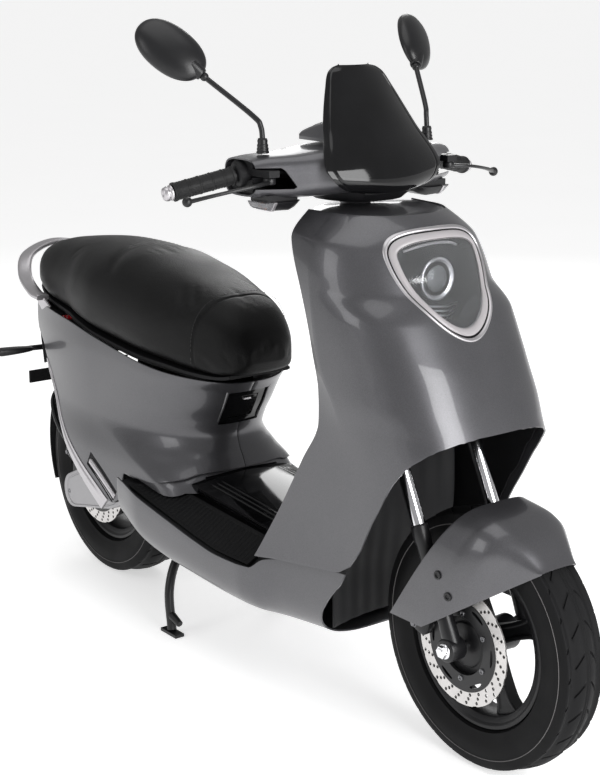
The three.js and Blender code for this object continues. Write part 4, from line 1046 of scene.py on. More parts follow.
def make_lower_fairing():
    nu, nv = 120, 110
    angles = [(0.5 - i / nu) * math.pi for i in range(nu + 1)]
    starts = [belly_start(a) for a in angles]
    between = [(a + 2 * b + c) / 4 for a, b, c in zip(starts, starts[1:], starts[2:])]
    starts = [starts[0], *between, starts[-1]]

    def surface(u, v):
        i = round(u * nu)
        return belly_point(angles[i], lerp(starts[i], 300, v))

    skin = Shape().grid(surface, nu, nv)
    stand_bay = Shape().box((-128, 120, 120), (128, 320, 238))
    piece("lower_fairing_skin", skin, "body_paint", "chassis", nodes=["lower_fairing"], thick=PANEL,
          bevel=0.8, cuts=[stand_bay])

    def deck(u, v):
        y = lerp(-215, 296, v)
        x = (u * 2 - 1) * (FLOOR_HALF(y) - 1.5)
        k = min(1.1, max(0, (abs(x) - MAT_INNER) / (MAT_OUTER - MAT_INNER)))
        return Vector((x, y, lerp(MAT_INNER_Z(y), MAT_OUTER_Z(y), k) - 8.5))

    piece("floor_deck", Shape().grid(deck, 80, 60), "grained_black", "chassis", thick=PANEL, bevel=0.5)


def mat_point(u, y):
    x = -lerp(MAT_OUTER, MAT_INNER, u)
    return Vector((x, y, lerp(MAT_INNER_Z(y), MAT_OUTER_Z(y), 1 - u)))


def make_floor_mats():
    nu, nv = 96, 110

    def surface(u, v):
        y = lerp(-176, lerp(250, 128, u ** 2), v)
        edge = min(u, 1 - u) * 62
        border = ramp(4, 6, edge) * ramp(0.012, 0.022, v) * (1 - ramp(0.98, 0.99, v))
        rib = (0.5 + 0.5 * math.cos((y + 176) / 12 * 2 * math.pi)) * border
        return mat_point(u, y) + Vector((0, 0, -1.5 * ramp(0.35, 0.75, rib) - 0.4 * border))

    mat = Shape().grid(surface, nu, 4 * nv)
    for word, side in RIGHT_AND_LEFT:
        piece("floor_mat_ribbed_" + word, mat.on_side(side), "mat_rubber", "chassis",
              nodes=["floor_mat_" + word], thick=4.5, bevel=0.5, smooth=50)


def make_tunnel():
    def surface(u, v):
        k = u * 2 - 1
        y = lerp(-192, lerp(94, 112, k * k), v)
        groove = sum(math.exp(-((abs(k) - at) / 0.009) ** 2) for at in (0.62, 0.71, 0.80))
        inside = ramp(0.05, 0.1, v) * (1 - ramp(0.86, 0.92, v))
        return Vector((k * TUNNEL_HALF, y, TUNNEL_Z(y) - 18 * k * k - 1.6 * groove * inside))

    piece("centre_tunnel", Shape().grid(surface, 240, 60), "piano_black", "chassis", nodes=["tunnel_cover"],
          thick=14, bevel=1.6, smooth=30)


# ---------------------------------------------------------------- rear body

COLUMN_Y = curve([(249, 40), (340, 84), (366, 97), (380, 104), (400, 116), (428, 124), (460, 113),
                  (495, 92), (537, 70), (560, 55), (620, 40)])
COLUMN_REACH = curve([(249, 100), (330, 110), (380, 230), (430, 330), (500, 300), (560, 260)])
PANEL_HALF = curve([(249, 168), (340, 165), (430, 152), (560, 155), (620, 150)])
PANEL_END_Y = curve([(249, 360), (280, 422), (314, 486), (354, 550), (398, 606), (442, 638),
                     (477, 666), (507, 694), (535, 716), (560, 752), (600, 766), (620, 768)])
SEAT_LINE_Z = curve([(40, 548), (80, 560), (200, 572), (299, 582), (415, 596), (562, 614), (770, 622)])
PANEL_FOOT_Z = curve([(60, 366), (112, 358), (126, 349), (160, 340), (200, 332), (250, 328),
                      (262, 326), (300, 327), (318, 268), (345, 250)])
LOCK = (50, 452, 530)
FLAP = (28, 466, 517)


def tail_taper(y):
    return 1 - 0.29 * max(0, (y - 450) / 310) ** 2


def body_point(a, z):
    """Where column position a lies at height z, as (x, y) for the left side."""
    front = COLUMN_Y(z)
    y = lerp(front, PANEL_END_Y(z), a ** 1.8)
    t = min(1, (y - front) / COLUMN_REACH(z))
    return PANEL_HALF(z) * (1 - (1 - t) ** 2.5) ** (1 / 2.5) * tail_taper(y), y


def meet(a, boundary, low, high):
    """The height, between low and high, at which column a of the side panel crosses the boundary curve."""
    for _ in range(26):
        middle = (low + high) / 2
        if middle < boundary(body_point(a, middle)[1]):
            low = middle
        else:
            high = middle
    return (low + high) / 2


def column_depth(x, z):
    """The y of the seat column's front skin at x, z."""
    near, far = 1e-4, 0.6
    for _ in range(26):
        middle = (near + far) / 2
        if body_point(middle, z)[0] < abs(x):
            near = middle
        else:
            far = middle
    return body_point(near, z)[1]


def make_side_panels():
    nu, nv = 150, 84
    spots = [max(i / nu, 1e-4) for i in range(nu + 1)]
    feet = [meet(a, PANEL_FOOT_Z, 240, 420) for a in spots]
    heads = [meet(a, SEAT_LINE_Z, 500, 640) - 1.5 for a in spots]

    def surface(u, v):
        i = round(u * nu)
        z = lerp(feet[i], heads[i], v)
        x, y = body_point(spots[i], z)
        return Vector((-x - 0.4, y, z))

    skin = Shape().grid(surface, nu, nv)
    window = Shape().box((-LOCK[0] + 1, 20, LOCK[1] + 1), (30, 240, LOCK[2] - 1))
    path = [Vector((-160, 338, 264)), Vector((-160, 392, 297)), Vector((-160, 447, 326))]
    recess = Shape().sweep(path, lambda t: rounded_bar(60, 36, 24, 0.4), up=(0, -0.5, 0.86))
    pocket = Shape().sweep(path, lambda t: rounded_bar(16, 38, 24, 0.4), up=(0, -0.5, 0.86))
    for word, side in RIGHT_AND_LEFT:
        piece("side_panel_skin_" + word, skin.on_side(side), "body_paint", "chassis",
              nodes=["side_panel_" + word], thick=PANEL, bevel=0.8, smooth=30,
              cuts=[window.on_side(side), recess.on_side(side)])
        piece("footrest_pocket_" + word, pocket.on_side(side), "grained_black", "chassis", bevel=0.8)


def floor_height(x, y):
    """The height of whatever covers the floor at x, y: tunnel, mat or deck."""
    k = min(1.1, max(0, (abs(x) - MAT_INNER) / (MAT_OUTER - MAT_INNER)))
    deck = lerp(MAT_INNER_Z(y), MAT_OUTER_Z(y), k)
    if abs(x) < TUNNEL_HALF + 2 and y < 112:
        return TUNNEL_Z(y) - 18 * (x / TUNNEL_HALF) ** 2
    return deck


def make_foot_skirts():
    """The turned-down foot of each side panel, which meets the floor."""
    def surface(u, v):
        a = lerp(1e-4, 0.62, u)
        top = meet(a, PANEL_FOOT_Z, 240, 420) + 4
        x, y = body_point(a, top)
        low = min(top - 1, floor_height(x, y) + 0.6)
        z = lerp(top, low, v)
        x, y = body_point(a, z)
        return Vector((3.2 - x if x > 4 else -x, y + 2.4, z))

    skirt = Shape().grid(surface, 90, 10)
    for word, side in RIGHT_AND_LEFT:
        piece("panel_foot_" + word, skirt.on_side(side), "body_paint", "chassis", thick=1.5)


def column_patch(size, inset, nu=48, nv=32, dish=0.0):
    half, low, high = size

    def surface(u, v):
        x, z = lerp(-half, half, u), lerp(low, high, v)
        hollow = dish * (1 - abs(2 * u - 1) ** 4) * (1 - abs(2 * v - 1) ** 4)
        return Vector((x, column_depth(x, z) + inset + hollow, z))

    return Shape().grid(surface, nu, nv)


def grown(size, by):
    return size[0] + by, size[1] - by, size[2] + by


def make_lock_panel():
    half, low, high = grown(LOCK, 4)

    def face(u, v):
        x, z = lerp(-half, half, u), lerp(low, high, v)
        hollow = 3.5 * (1 - abs(2 * u - 1) ** 6) * (1 - abs(2 * v - 1) ** 6)
        return Vector((x, column_depth(x, z) - 1 + hollow, z))

    bay = Shape().box((-FLAP[0], 20, FLAP[1] - 0.5), (FLAP[0], 240, FLAP[2] + 0.5))
    piece("lock_panel_face", Shape().grid(face, 64, 48), "piano_black", "chassis", nodes=["lock_panel"],
          thick=6, bevel=1.0, smooth=30, cuts=[bay])
    back = column_patch(grown(FLAP, 3), 7)
    piece("charge_bay", back, "grained_black", "chassis", thick=2)
    flap = column_patch(grown(FLAP, -0.8), 3.2, dish=1.2)
    piece("charge_flap_cover", flap, "piano_black", "charge_flap", nodes=["charge_flap"], thick=4, bevel=1.2)
    finger = Shape().box((-9, column_depth(0, 511) - 0.5, 508), (9, column_depth(0, 511) + 6, 512))
    piece("charge_flap_lip", finger, "satin_silver", "charge_flap", bevel=0.9)
    for word, side in RIGHT_AND_LEFT:
        path = []
        for k in range(13):
            z = lerp(456, 532, k / 12)
            path.append(Vector((-lerp(50.5, 53, k / 12), column_depth(52, z) - 1.2, z)))
        strip = Shape().sweep(path, lambda t: rounded_bar(4, 5, 16, 0.6), up=(0, -1, 0))
        piece("lock_bracket_" + word, strip.on_side(side), "cover_silver", "chassis", smooth=50)


def make_trim():
    def surface(u, v):
        z = lerp(252, 500, v)
        shift = (1.0 + u * lerp(44, 10, v)) * 0.74
        y, low = PANEL_END_Y(z) + shift, z - shift * 0.9
        ridge = 2.2 * math.exp(-((u - 0.38) / 0.10) ** 2) * ramp(0, 0.12, v) * (1 - ramp(0.9, 1, v))
        return Vector((-PANEL_HALF(z) * tail_taper(y) + 1 + 4 * u * u - ridge, y, low))

    skin = Shape().grid(surface, 40, 90)
    for word, side in RIGHT_AND_LEFT:
        piece("rear_trim_" + word, skin.on_side(side), "satin_silver", "chassis", nodes=["trim_" + word],
              thick=6, bevel=1.3)


def make_grab_rail():
    half = [(-134, 694, 639), (-133, 735, 645), (-121, 800, 674), (-84, 848, 713), (0, 867, 733)]
    whole = half + [(-x, y, z) for x, y, z in half[-2::-1]]
    rail = Shape().sweep(smooth_path(whole, 120), lambda t: rounded_bar(31.5, 12.8, 36, 0.55), up=UP)
    piece("grab_rail_bar", rail, "satin_silver", "chassis", nodes=["grab_rail"], bevel=1.2)
    head, toe = Vector((-131, 714, 637)), Vector((-119, 706, 611))
    down = [head.lerp(toe, k / 10) for k in range(11)]
    foot = Shape().sweep(down, lambda t: rounded_bar(9, lerp(36, 50, t), 28, 0.45), up=(0, 1, 0))
    piece("grab_rail_feet", foot.both(), "satin_silver", "chassis", bevel=0.8, smooth=50)


def tail_point(k, y, z, out=0):
    half = PANEL_HALF(z) * tail_taper(760) - 5
    return Vector((k * half, y + 34 * (1 - k * k) + out, z))


def make_tail():
    def lens(u, v):
        k = 1 - 2 * u
        flute = 0.5 * math.cos(k * 60) * ramp(0, 0.15, v) * (1 - ramp(0.85, 1, v))
        return tail_point(k, 768, lerp(556, 600, v), flute - 0.6)

    piece("tail_lamp_lens", Shape().grid(lens, 180, 20), "red_lens", "chassis", nodes=["tail_lamp"],
          thick=12, bevel=1.2, smooth=50)

    def cap(u, v):
        k = 1 - 2 * u
        lip = tail_point(k, 768, 601)
        if v < 0.5:
            return lip + Vector((0, 0, 32 * v))
        top = lip + Vector((0, 0, 16 + 5 * math.sin(math.pi * (v - 0.5))))
        return Vector((top.x, lerp(top.y, 742, 2 * v - 1), top.z))

    piece("tail_cap", Shape().grid(cap, 60, 30), "body_paint", "chassis", thick=PANEL, bevel=0.7)

    def deck(u, v):
        y = lerp(640, 769, v)
        half = PANEL_HALF(606) * tail_taper(y) - 3.4
        return Vector((lerp(-half, half, u), y, SEAT_LINE_Z(y) - 12))

    piece("tail_deck", Shape().grid(deck, 30, 24), "grained_black", "chassis", thick=2, bevel=0.4)

    def apron(u, v):
        return tail_point(1 - 2 * u, lerp(758, 769, v), lerp(470, 557, v))

    guard = Shape().grid(apron, 60, 24)
    piece("rear_apron", guard, "grained_black", "chassis", nodes=["rear_fender"], thick=4, bevel=0.9)
    stay = Shape().sweep(smooth_path([(0, 792, 488), (0, 826, 452), (0, 850, 420)], 30),
                         lambda t: rounded_bar(8, 60 - 10 * math.sin(math.pi * t), 32, 0.35), up=(1, 0, 0))
    stay.box((-96, 846, 402), (96, 851, 432))
    piece("plate_holder", stay, "grained_black", "chassis", bevel=1.0)
    lamp = Shape().sweep([Vector((-22, 842, 440)), Vector((22, 842, 440))],
                         lambda t: rounded_bar(12, 9, 20, 0.6), up=UP)
    piece("plate_lamp", lamp, "smoke_lens", "chassis", bevel=0.8)
    reflector = Shape().turned((0, 850.5, 417), (0, 1, 0),
                               [(0, 0), (0, 13), (2, 13), (3.2, 11.5), (3.2, 0)], 40, 0.5)
    piece("rear_reflector", reflector, "red_lens", "chassis", bevel=0.3)
    make_rear_indicators()


def wedge_section(t):
    """The rear indicator's section at share t of its length, from its tip to its stay."""
    width = 12 + 15 * math.sin(math.pi * min(1, 0.12 + t * 0.8))
    height = 9 + 12 * (1 - t) ** 0.5 * min(1, 0.45 + 3 * t)
    return rounded_bar(width, height, 24, 0.7)


def lens_section(t):
    return circle(6.5 * math.sin(math.pi * lerp(0.12, 0.88, t)), 20, 0.4)


def make_rear_indicators():
    for word, side in RIGHT_AND_LEFT:
        body = Shape().rod((-40, 788, 499), (-134, 786, 503), 6.8, 6.2)
        body.sweep([Vector((x, 777 + (x + 172) * -0.12, 505)) for x in range(-217, -126, 3)],
                   wedge_section, up=UP)
        piece("rear_indicator_" + word, body.on_side(side), "satin_black", "chassis",
              nodes=["turn_rear_" + word], smooth=50)
        lens_path = [Vector((-176 + 26 * c, 789 - 3 * c * c, 505)) for c in (k / 8 - 1 for k in range(17))]
        lens = Shape().sweep(lens_path, lens_section, up=(0, 1, 0))
        piece("rear_indicator_lens_" + word, lens.on_side(side), "amber_lens", "chassis", smooth=60)


def make_hugger():
    def surface(u, v):
        angle = lerp(-0.3, 1.25, v)
        half = lerp(48, 66, v)
        k = 1 - 2 * u
        r = REAR_TYRE[0] + 26 - 2 * k * k + 1.2 * (abs(abs(k) - 0.55) < 0.03)
        return Vector((k * half, REAR_AXLE[0] + r * math.cos(angle), REAR_AXLE[1] + r * math.sin(angle)))

    skin = Shape().grid(surface, 60, 80)
    piece("rear_hugger_skin", skin, "grained_black", "swingarm", nodes=["rear_hugger"], thick=3.5,
          bevel=0.9)
    stay = Shape().pipe([(-98, 634, 273), (-98, 712, 330), (-84, 760, 372), (-54, 790, 396)], 5)
    piece("hugger_stays", stay.both(), "satin_black", "swingarm", smooth=60)


# ---------------------------------------------------------------- seat

SEAT_HALF = curve([(12, 48), (30, 76), (80, 104), (160, 132), (280, 150), (450, 154), (540, 144),
                   (600, 129), (660, 120), (720, 112), (790, 92), (820, 60)])
SEAT_TOP = curve([(12, 634), (30, 672), (70, 708), (110, 724), (164, 738), (292, 768), (408, 779),
                  (552, 778), (684, 767), (790, 748), (820, 722)])
SEAT_BASE = curve([(12, 596), (30, 572), (70, 564), (200, 574), (299, 580), (415, 592), (562, 610),
                   (700, 622), (820, 652)])
CLOTH_FRAMES = 20


def seat_point(y, a, grow=0.0):
    """A point of the cushion's section at y, at angle a round it; grow moves it outwards."""
    half, top, base = SEAT_HALF(y), SEAT_TOP(y), SEAT_BASE(y)
    shoulder = lerp(base, top, 0.3)
    s = math.sin(a)
    rise = (top - shoulder) * s ** 0.75 if s >= 0 else (base - shoulder) * (-s) ** 0.4
    x = half * power(math.cos(a), 0.72)
    out = Vector((math.cos(a), 0, math.sin(a))) * grow
    dish = 7 * max(0, 1 - ((y - 250) / 130) ** 2) * max(0, s) ** 3
    pillow = 5 * max(0, 1 - ((y - 560) / 150) ** 2) * max(0, s) ** 3
    return Vector((x, y, shoulder + rise - dish + pillow * 0.6)) + out


def make_seat():
    nose, tail = (12, 14, 17, 21, 26, 32, 40, 50, 62, 76), (786, 796, 804, 811, 816, 820)
    stations = [*nose, *range(92, 780, 16), *tail]
    form = Shape().loft([[seat_point(y, a, -2.5) for a in turns(72, 0.5)] for y in stations])
    cushion = piece("seat_cover", form, "seat_vinyl", "seat", nodes=["seat_cushion"], smooth=180)
    pressurise(cushion, cap=7 * MM)
    press_seams(cushion)
    clip_to_seat_box(cushion)
    cushion.data.set_sharp_from_angle(angle=math.radians(70))
    add_stitches()
    loops = []
    for y in range(40, 793, 8):
        half, z = SEAT_HALF(y) - 9, SEAT_BASE(y)
        low = z - 7 if 92 <= y <= 760 else z - 1
        loops.append([Vector((-half, y, z + 7)), Vector((half, y, z + 7)), Vector((half + 2, y, z + 1)),
                      Vector((half - 6, y, low)), Vector((6 - half, y, low)), Vector((-half - 2, y, z + 1))])
    piece("seat_pan", Shape().loft(loops), "grained_black", "seat", nodes=["seat_base"], bevel=0.8)


def pressurise(obj, cap):
    """Inflates the cushion with cloth under pressure, and keeps each point within cap of where it began."""
    remesh = obj.modifiers.new("voxels", "REMESH")
    remesh.mode = "VOXEL"
    remesh.voxel_size = 6 * MM
    settle(obj)
    start = [v.co.copy() for v in obj.data.vertices]
    pins = obj.vertex_groups.new(name="pins")
    for vertex in obj.data.vertices:
        rise = vertex.co.z - SEAT_BASE(vertex.co.y / MM) * MM
        pins.add([vertex.index], 1.0 - ramp(0.0, 18 * MM, rise), "REPLACE")
    cloth = obj.modifiers.new("stuffing", "CLOTH")
    cloth.settings.quality = 4
    cloth.settings.mass = 0.4
    cloth.settings.use_pressure = True
    cloth.settings.uniform_pressure_force = 4
    cloth.settings.tension_stiffness = 20
    cloth.settings.compression_stiffness = 20
    cloth.settings.bending_stiffness = 2
    cloth.settings.vertex_group_mass = "pins"
    cloth.settings.effector_weights.gravity = 0
    cloth.point_cache.frame_start = 1
    cloth.point_cache.frame_end = CLOTH_FRAMES
    for step in range(1, CLOTH_FRAMES + 1):
        bpy.context.scene.frame_set(step)
    settle(obj)
    bpy.context.scene.frame_set(1)
    for vertex, was in zip(obj.data.vertices, start):
        move = vertex.co - was
        if move.length > cap:
            vertex.co = was + move.normalized() * cap
    sub = obj.modifiers.new("finer", "SUBSURF")
    sub.levels = sub.render_levels = 1
    settle(obj)
    obj.vertex_groups.clear()
    for polygon in obj.data.polygons:
        polygon.use_smooth = True


def press_seams(obj):
    """Presses the seam that divides the nose from the saddle, and a soft crease across the pillion step."""
    normals = [vertex.normal.copy() for vertex in obj.data.vertices]
    for vertex, normal in zip(obj.data.vertices, normals):
        p = vertex.co / MM
        nose = abs(p.y - (104 + 0.0005 * p.x * p.x))
        step = abs(p.y - (452 - 0.0030 * p.x * p.x))
        on_top = ramp(0.72, 0.9, (p.z - SEAT_BASE(p.y)) / (SEAT_TOP(p.y) - SEAT_BASE(p.y)))
        press = 2.0 * math.exp(-(nose / 2.4) ** 2) * (p.z > SEAT_BASE(p.y) + 8)
        press += 3.0 * math.exp(-(step / 16) ** 2) * on_top
        vertex.co -= normal * press * MM


def clip_to_seat_box(obj):
    lo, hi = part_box("seat_cushion")
    spare = 4 * MM
    for vertex in obj.data.vertices:
        for k in range(3):
            vertex.co[k] = min(hi[k] + spare, max(lo[k] - (spare if k < 2 else 0), vertex.co[k]))
        floor = (SEAT_BASE(vertex.co.y / MM) - 1) * MM
        vertex.co.z = max(vertex.co.z, floor)


def add_stitches():
    """A row of stitches just behind the nose seam."""
    rows = Shape()
    path = [seat_point(111, lerp(-0.12, math.pi + 0.12, k / 120), 2.4) for k in range(121)]
    for a, b in zip(path[::2], path[1::2]):
        rows.rod(a, b, 0.6, sides=6, ease=0)
    piece("seat_stitches", rows, "seam_thread", "seat")


# ---------------------------------------------------------------- bars, cowl and mirrors

COWL_END = 223
COWL_FRONT = curve([(0, -352), (70, -345), (130, -312), (180, -284), (223, -262)])
COWL_REAR = curve([(0, -182), (70, -184), (130, -182), (180, -176), (223, -170)])
COWL_TOP = curve([(0, 1062), (80, 1056), (150, 1046), (200, 1042), (223, 1038)])
COWL_BASE = curve([(0, 979), (80, 978), (150, 974), (200, 975), (223, 978)])


def cowl_point(x, a, inset=0.0):
    at = abs(x)
    front, rear = COWL_FRONT(at) + inset, COWL_REAR(at) - inset
    base, top = COWL_BASE(at) + inset, COWL_TOP(at) - inset
    return Vector((x, lerp(front, rear, 0.5 + 0.5 * power(math.cos(a), 0.55)),
                   lerp(base, top, 0.5 + 0.5 * power(math.sin(a), 0.55))))


def make_cowl():
    def surface(u, v):
        x = lerp(-COWL_END, COWL_END, v)
        return cowl_point(x, -2 * math.pi * (u + 0.5 / 96))

    skin = Shape().grid(surface, 144, 160)
    stem = Shape().rod((0, steer_y(930), 930), (0, steer_y(1004), 1004), 45)
    outline = [(-262, 1027), (-184, 1027), (-178, 1022), (-160, 994), (-164, 990), (-262, 990)]
    window = Shape().plate([Vector((x, -244, z)) for x, z in outline], (0, -100, 0))
    piece("handlebar_cowl_skin", skin, "body_paint", "steering", nodes=["handlebar_cowl"], thick=PANEL,
          bevel=0.8, smooth=30, cuts=[stem, window, window.mirrored()])

    def seal_point(u, v):
        return cowl_point(-214, 2 * math.pi * (u + 0.5 / 64), lerp(3.5, 26, v))

    seal = Shape().grid(seal_point, 64, 6, hole=lambda m: m.y < -242)
    groove = [cowl_point(-x, math.pi / 2 + 0.35) + Vector((0, 0, 0.2)) for x in range(96, 166, 5)]
    slot = Shape().sweep(
        groove, lambda t: rounded_bar(9 * math.sin(math.pi * lerp(0.1, 0.9, t)) + 1, 2.6, 16), up=UP)
    along = (GRIP_OUTER - GRIP_INNER).normalized()
    pod = Shape().turned(GRIP_INNER - along * 26, along,
                         [(0, 0), (0, 21), (4, 23), (20, 23), (23, 20), (23, 0)], 48, 1.2)
    for word, side in RIGHT_AND_LEFT:
        piece("cowl_end_seal_" + word, seal.on_side(side), "grained_black", "steering", thick=2)
        piece("cowl_slot_" + word, slot.on_side(side), "piano_black", "steering", smooth=50)
        piece("switch_pod_" + word, pod.on_side(side), "grained_black", "steering", bevel=0.6)


SCREEN_HALF = curve([(979, 56), (984, 84), (994, 106), (1006, 120), (1024, 130), (1090, 106), (1160, 75),
                     (1182, 63), (1191, 50), (1195, 36)])
SCREEN_Y = curve([(972, -367), (1000, -374), (1090, -333), (1195, -262)])
SCREEN_SAG = curve([(972, 22), (1090, 34), (1195, 12)])


def make_screen():
    def surface(u, v):
        z = lerp(979, 1195, 0.5 - 0.5 * math.cos(v * math.pi))
        k = u * 2 - 1
        dip = 1.6 * math.exp(-((abs(k) - 0.90) / 0.012) ** 2)
        return Vector((k * SCREEN_HALF(z), SCREEN_Y(z) + SCREEN_SAG(z) * k * k + dip, z))

    piece("fly_screen", Shape().grid(surface, 128, 110), "piano_black", "steering", nodes=["windscreen"],
          thick=PANEL, bevel=1.0, smooth=30)


def dash_loop(x, shrink):
    corners = [(-312 + shrink, 1068), (-304 + shrink, 1092 - shrink), (-262, 1100 - shrink),
               (-196 - shrink, 1082 - shrink), (-190 - shrink, 1068)]
    path = smooth_path([(x, y, z) for y, z in corners], 24)
    return path + [Vector((x, -190 - shrink, 1064)), Vector((x, -312 + shrink, 1064))]


def make_dash():
    left = [(-82, 9), (-80, 6), (-74, 3), (-60, 0.5), (-30, -2.5)]
    stations = [*left, (0, -4), *[(-x, shrink) for x, shrink in reversed(left)]]
    hood = Shape().loft([dash_loop(x, shrink) for x, shrink in stations])
    piece("dash_hood", hood, "body_paint", "steering", nodes=["dash_pod"], bevel=0.8, smooth=45)

    def glass(u, v):
        x = lerp(-58, 58, u)
        path = dash_loop(x, lerp(0.5, -4, 1 - abs(x) / 60))[:25]
        y = lerp(-258, -206, v)
        for a, b in zip(path, path[1:]):
            if a.y <= y <= b.y:
                return Vector((x, y, lerp(a.z, b.z, (y - a.y) / (b.y - a.y)) + 1.4))
        return Vector((x, y, 1086))

    piece("dash_display", Shape().grid(glass, 40, 20), "piano_black", "steering", thick=2.5, bevel=1.0)


def make_bars():
    half = [GRIP_INNER, Vector((-205, -211, 1014)), Vector((-150, -232, 1014)), Vector((-70, -246, 1000)),
            Vector((0, -247, 996))]
    whole = half + [Vector((-p.x, p.y, p.z)) for p in half[-2::-1]]
    bar = Shape().pipe(whole, 10.8, steps=80, sides=32)
    along = (GRIP_OUTER - GRIP_INNER).normalized()
    ends = Shape().rod(GRIP_INNER - along, GRIP_OUTER, 10.8)
    ends.box((-216, -292, 1012), (-194, -204, 1024))
    bar.add(ends.both().verts, ends.faces)
    bar.rod((0, steer_y(990), 990), (0, steer_y(1008), 1008), 20)
    piece("handlebar_tube", bar, "satin_black", "steering", nodes=["handlebar"], bevel=0.6)
    weight = Shape().turned(GRIP_OUTER, along, [(0, 0), (0, 14), (4, 14), (5, 12.2), (7, 12.2), (8, 13.6),
                                                (14, 12), (17, 9.5), (17, 4), (14, 3.4), (14, 0)], 12, 0.6)
    piece("bar_end_weights", weight.both(), "satin_silver", "steering", bevel=0.4)
    for name, node, body, side in (("throttle_sleeve", "throttle_grip", "throttle", -1),
                                   ("left_sleeve", "grip_left", "steering", 1)):
        piece(name, grip_shape(along).on_side(side), "soft_rubber", body, nodes=[node], smooth=50)
    for word, side, body in (("right", -1, "front_brake_lever"), ("left", 1, "rear_brake_lever")):
        blade = Shape().sweep(
            smooth_path([(-207, -282, 1004), (-250, -293, 1001), (-310, -274, 990), (-352, -250, 979)], 48),
            lambda t: rounded_bar(10.5 - 2 * t, 7.5 - 1.5 * math.sin(math.pi * t), 24, 0.6), up=UP)
        blade.ball((-355, -247, 978.5), (8.9, 8.9, 8.9), 28)
        blade.turned((-207, -280, 1000), UP, [(0, 0), (0, 10.8), (11, 10.8), (11, 0)], 36, 1)
        piece("lever_blade_" + word, blade.on_side(side), "satin_black", body,
              nodes=["brake_lever_" + word], smooth=50)
        pin = Shape().turned((-207, -280, 1011), UP, [(0, 0), (0, 5), (0.9, 5), (0.9, 2), (0.2, 0)], 24, 0.3)
        piece("lever_pin_" + word, pin.on_side(side), "cast_grey", body)


def grip_shape(along):
    """A ribbed rubber grip with end flanges and rows of small pimples."""
    length = (GRIP_OUTER - GRIP_INNER).length - 1.2
    side = UP.cross(along).normalized()
    other = along.cross(side)
    sides, rows = 96, 150

    def at(s, a, radius):
        return GRIP_INNER + along * s + (side * math.cos(a) + other * math.sin(a)) * radius

    loops = []
    for i in range(rows + 1):
        s = lerp(2, length, i / rows)
        from_end = min(s - 2, length - s)
        base = 16.9 if from_end < 4 else 15.6
        base += 0.6 * (math.cos(s * 2 * math.pi / 22) > 0.86)
        bump = 0.9 * max(0, math.cos(s * 2 * math.pi / 5.5)) ** 2 * (from_end > 8)
        loops.append([at(s, a, min(17, base + bump * max(0, math.cos(a * 16)) ** 2)) for a in turns(sides)])
    inner = [[at(s, a, 11.9) for a in turns(sides)] for s in (length, 2)]
    return Shape().loft(loops + inner + loops[:1], caps=False)


def make_mirrors():
    reach = Vector((-40, 56, 50)).normalized()
    across = reach.cross(Vector((0.41, 0.75, -0.52))).normalized()
    normal = across.cross(reach)
    centre = MIRROR_JOINT + reach * 77

    def oval(size, n, exponent=1.0):
        """An oval of the mirror head, size times its full one, at height n over its middle."""
        return [centre + reach * 71 * size * power(math.cos(a), exponent) + normal * n
                + across * 44.5 * size * power(math.sin(a), exponent) for a in turns(72)]

    rod = Shape().pipe([(-190, -237, 1062), (-191, -233, 1094), (-200, -219, 1114), MIRROR_JOINT], 4.8, 50)
    boot = [(0, 0), (0, 11.5), (3, 11.4), (5, 9.8), (8, 10.8), (11, 9.3), (14, 10.2), (17, 8.6), (22, 9.2),
            (26.5, 7.5), (26.5, 0)]
    rod.turned((-190, -237, 1048.5), (0, 0.04, 1), boot, 40, 0.5)
    rod.ball(MIRROR_JOINT, (7.9, 7.9, 7.9), 28)
    shell = Shape()
    loops = []
    for i in range(41):
        n = lerp(-24.5, 6.5, math.sin(i / 40 * math.pi / 2))
        loops.append(oval(max(1e-3, 1 - (n / 25) ** 2) ** 0.5, n, 0.92))
    rim = (1 - (6.5 / 25) ** 2) ** 0.5
    for scale, n in ((1.0, 6.5), (0.985, 7), (0.95, 7), (0.935, 6.6), (0.93, 4.0)):
        loops.append(oval(rim * scale, n, 0.92))
    shell.loft(loops)
    root = MIRROR_JOINT + reach * 26 - normal * 4
    shell.turned(MIRROR_JOINT + reach * 4, root - MIRROR_JOINT,
                 [(0, 8.2), (0, 10), (2, 11.5), (26, 15), (26, 0)], 40, 1)
    glass = Shape().loft([oval(rim * 0.925 * s, 4.6 + 0.9 * (1 - s * s)) for s in (1, 0.85, 0.6, 0.3, 0.02)],
                         caps=False)
    for word, side in RIGHT_AND_LEFT:
        piece("mirror_arm_" + word, rod.on_side(side), "satin_black", "steering",
              nodes=["mirror_stem_" + word], smooth=50)
        piece("mirror_shell_" + word, shell.on_side(side), "satin_black", "mirror_" + word,
              nodes=["mirror_head_" + word], smooth=45)
        piece("mirror_face_" + word, glass.on_side(side), "mirror_glass", "mirror_" + word, smooth=60)


def corner(a, here, c, steps):
    """Rounds the corner at here, from a to c."""
    return [a * (1 - t) ** 2 + here * 2 * t * (1 - t) + c * t * t
            for t in (k / steps for k in range(steps + 1))]


def indicator_loop(x, inset, shrink=0.0):
    i = inset + shrink
    corners = [Vector((x, -284 + i, 968 - shrink)), Vector((x, -214 - i, 968 - shrink)),
               Vector((x, -224 - i, 950 + i)), Vector((x, -272 + i, 950 + i))]
    out = []
    for before, here, after in zip(corners[-1:] + corners[:-1], corners, corners[1:] + corners[:1]):
        out += corner(here.lerp(before, 0.12), here, here.lerp(after, 0.12), 4)
    return out


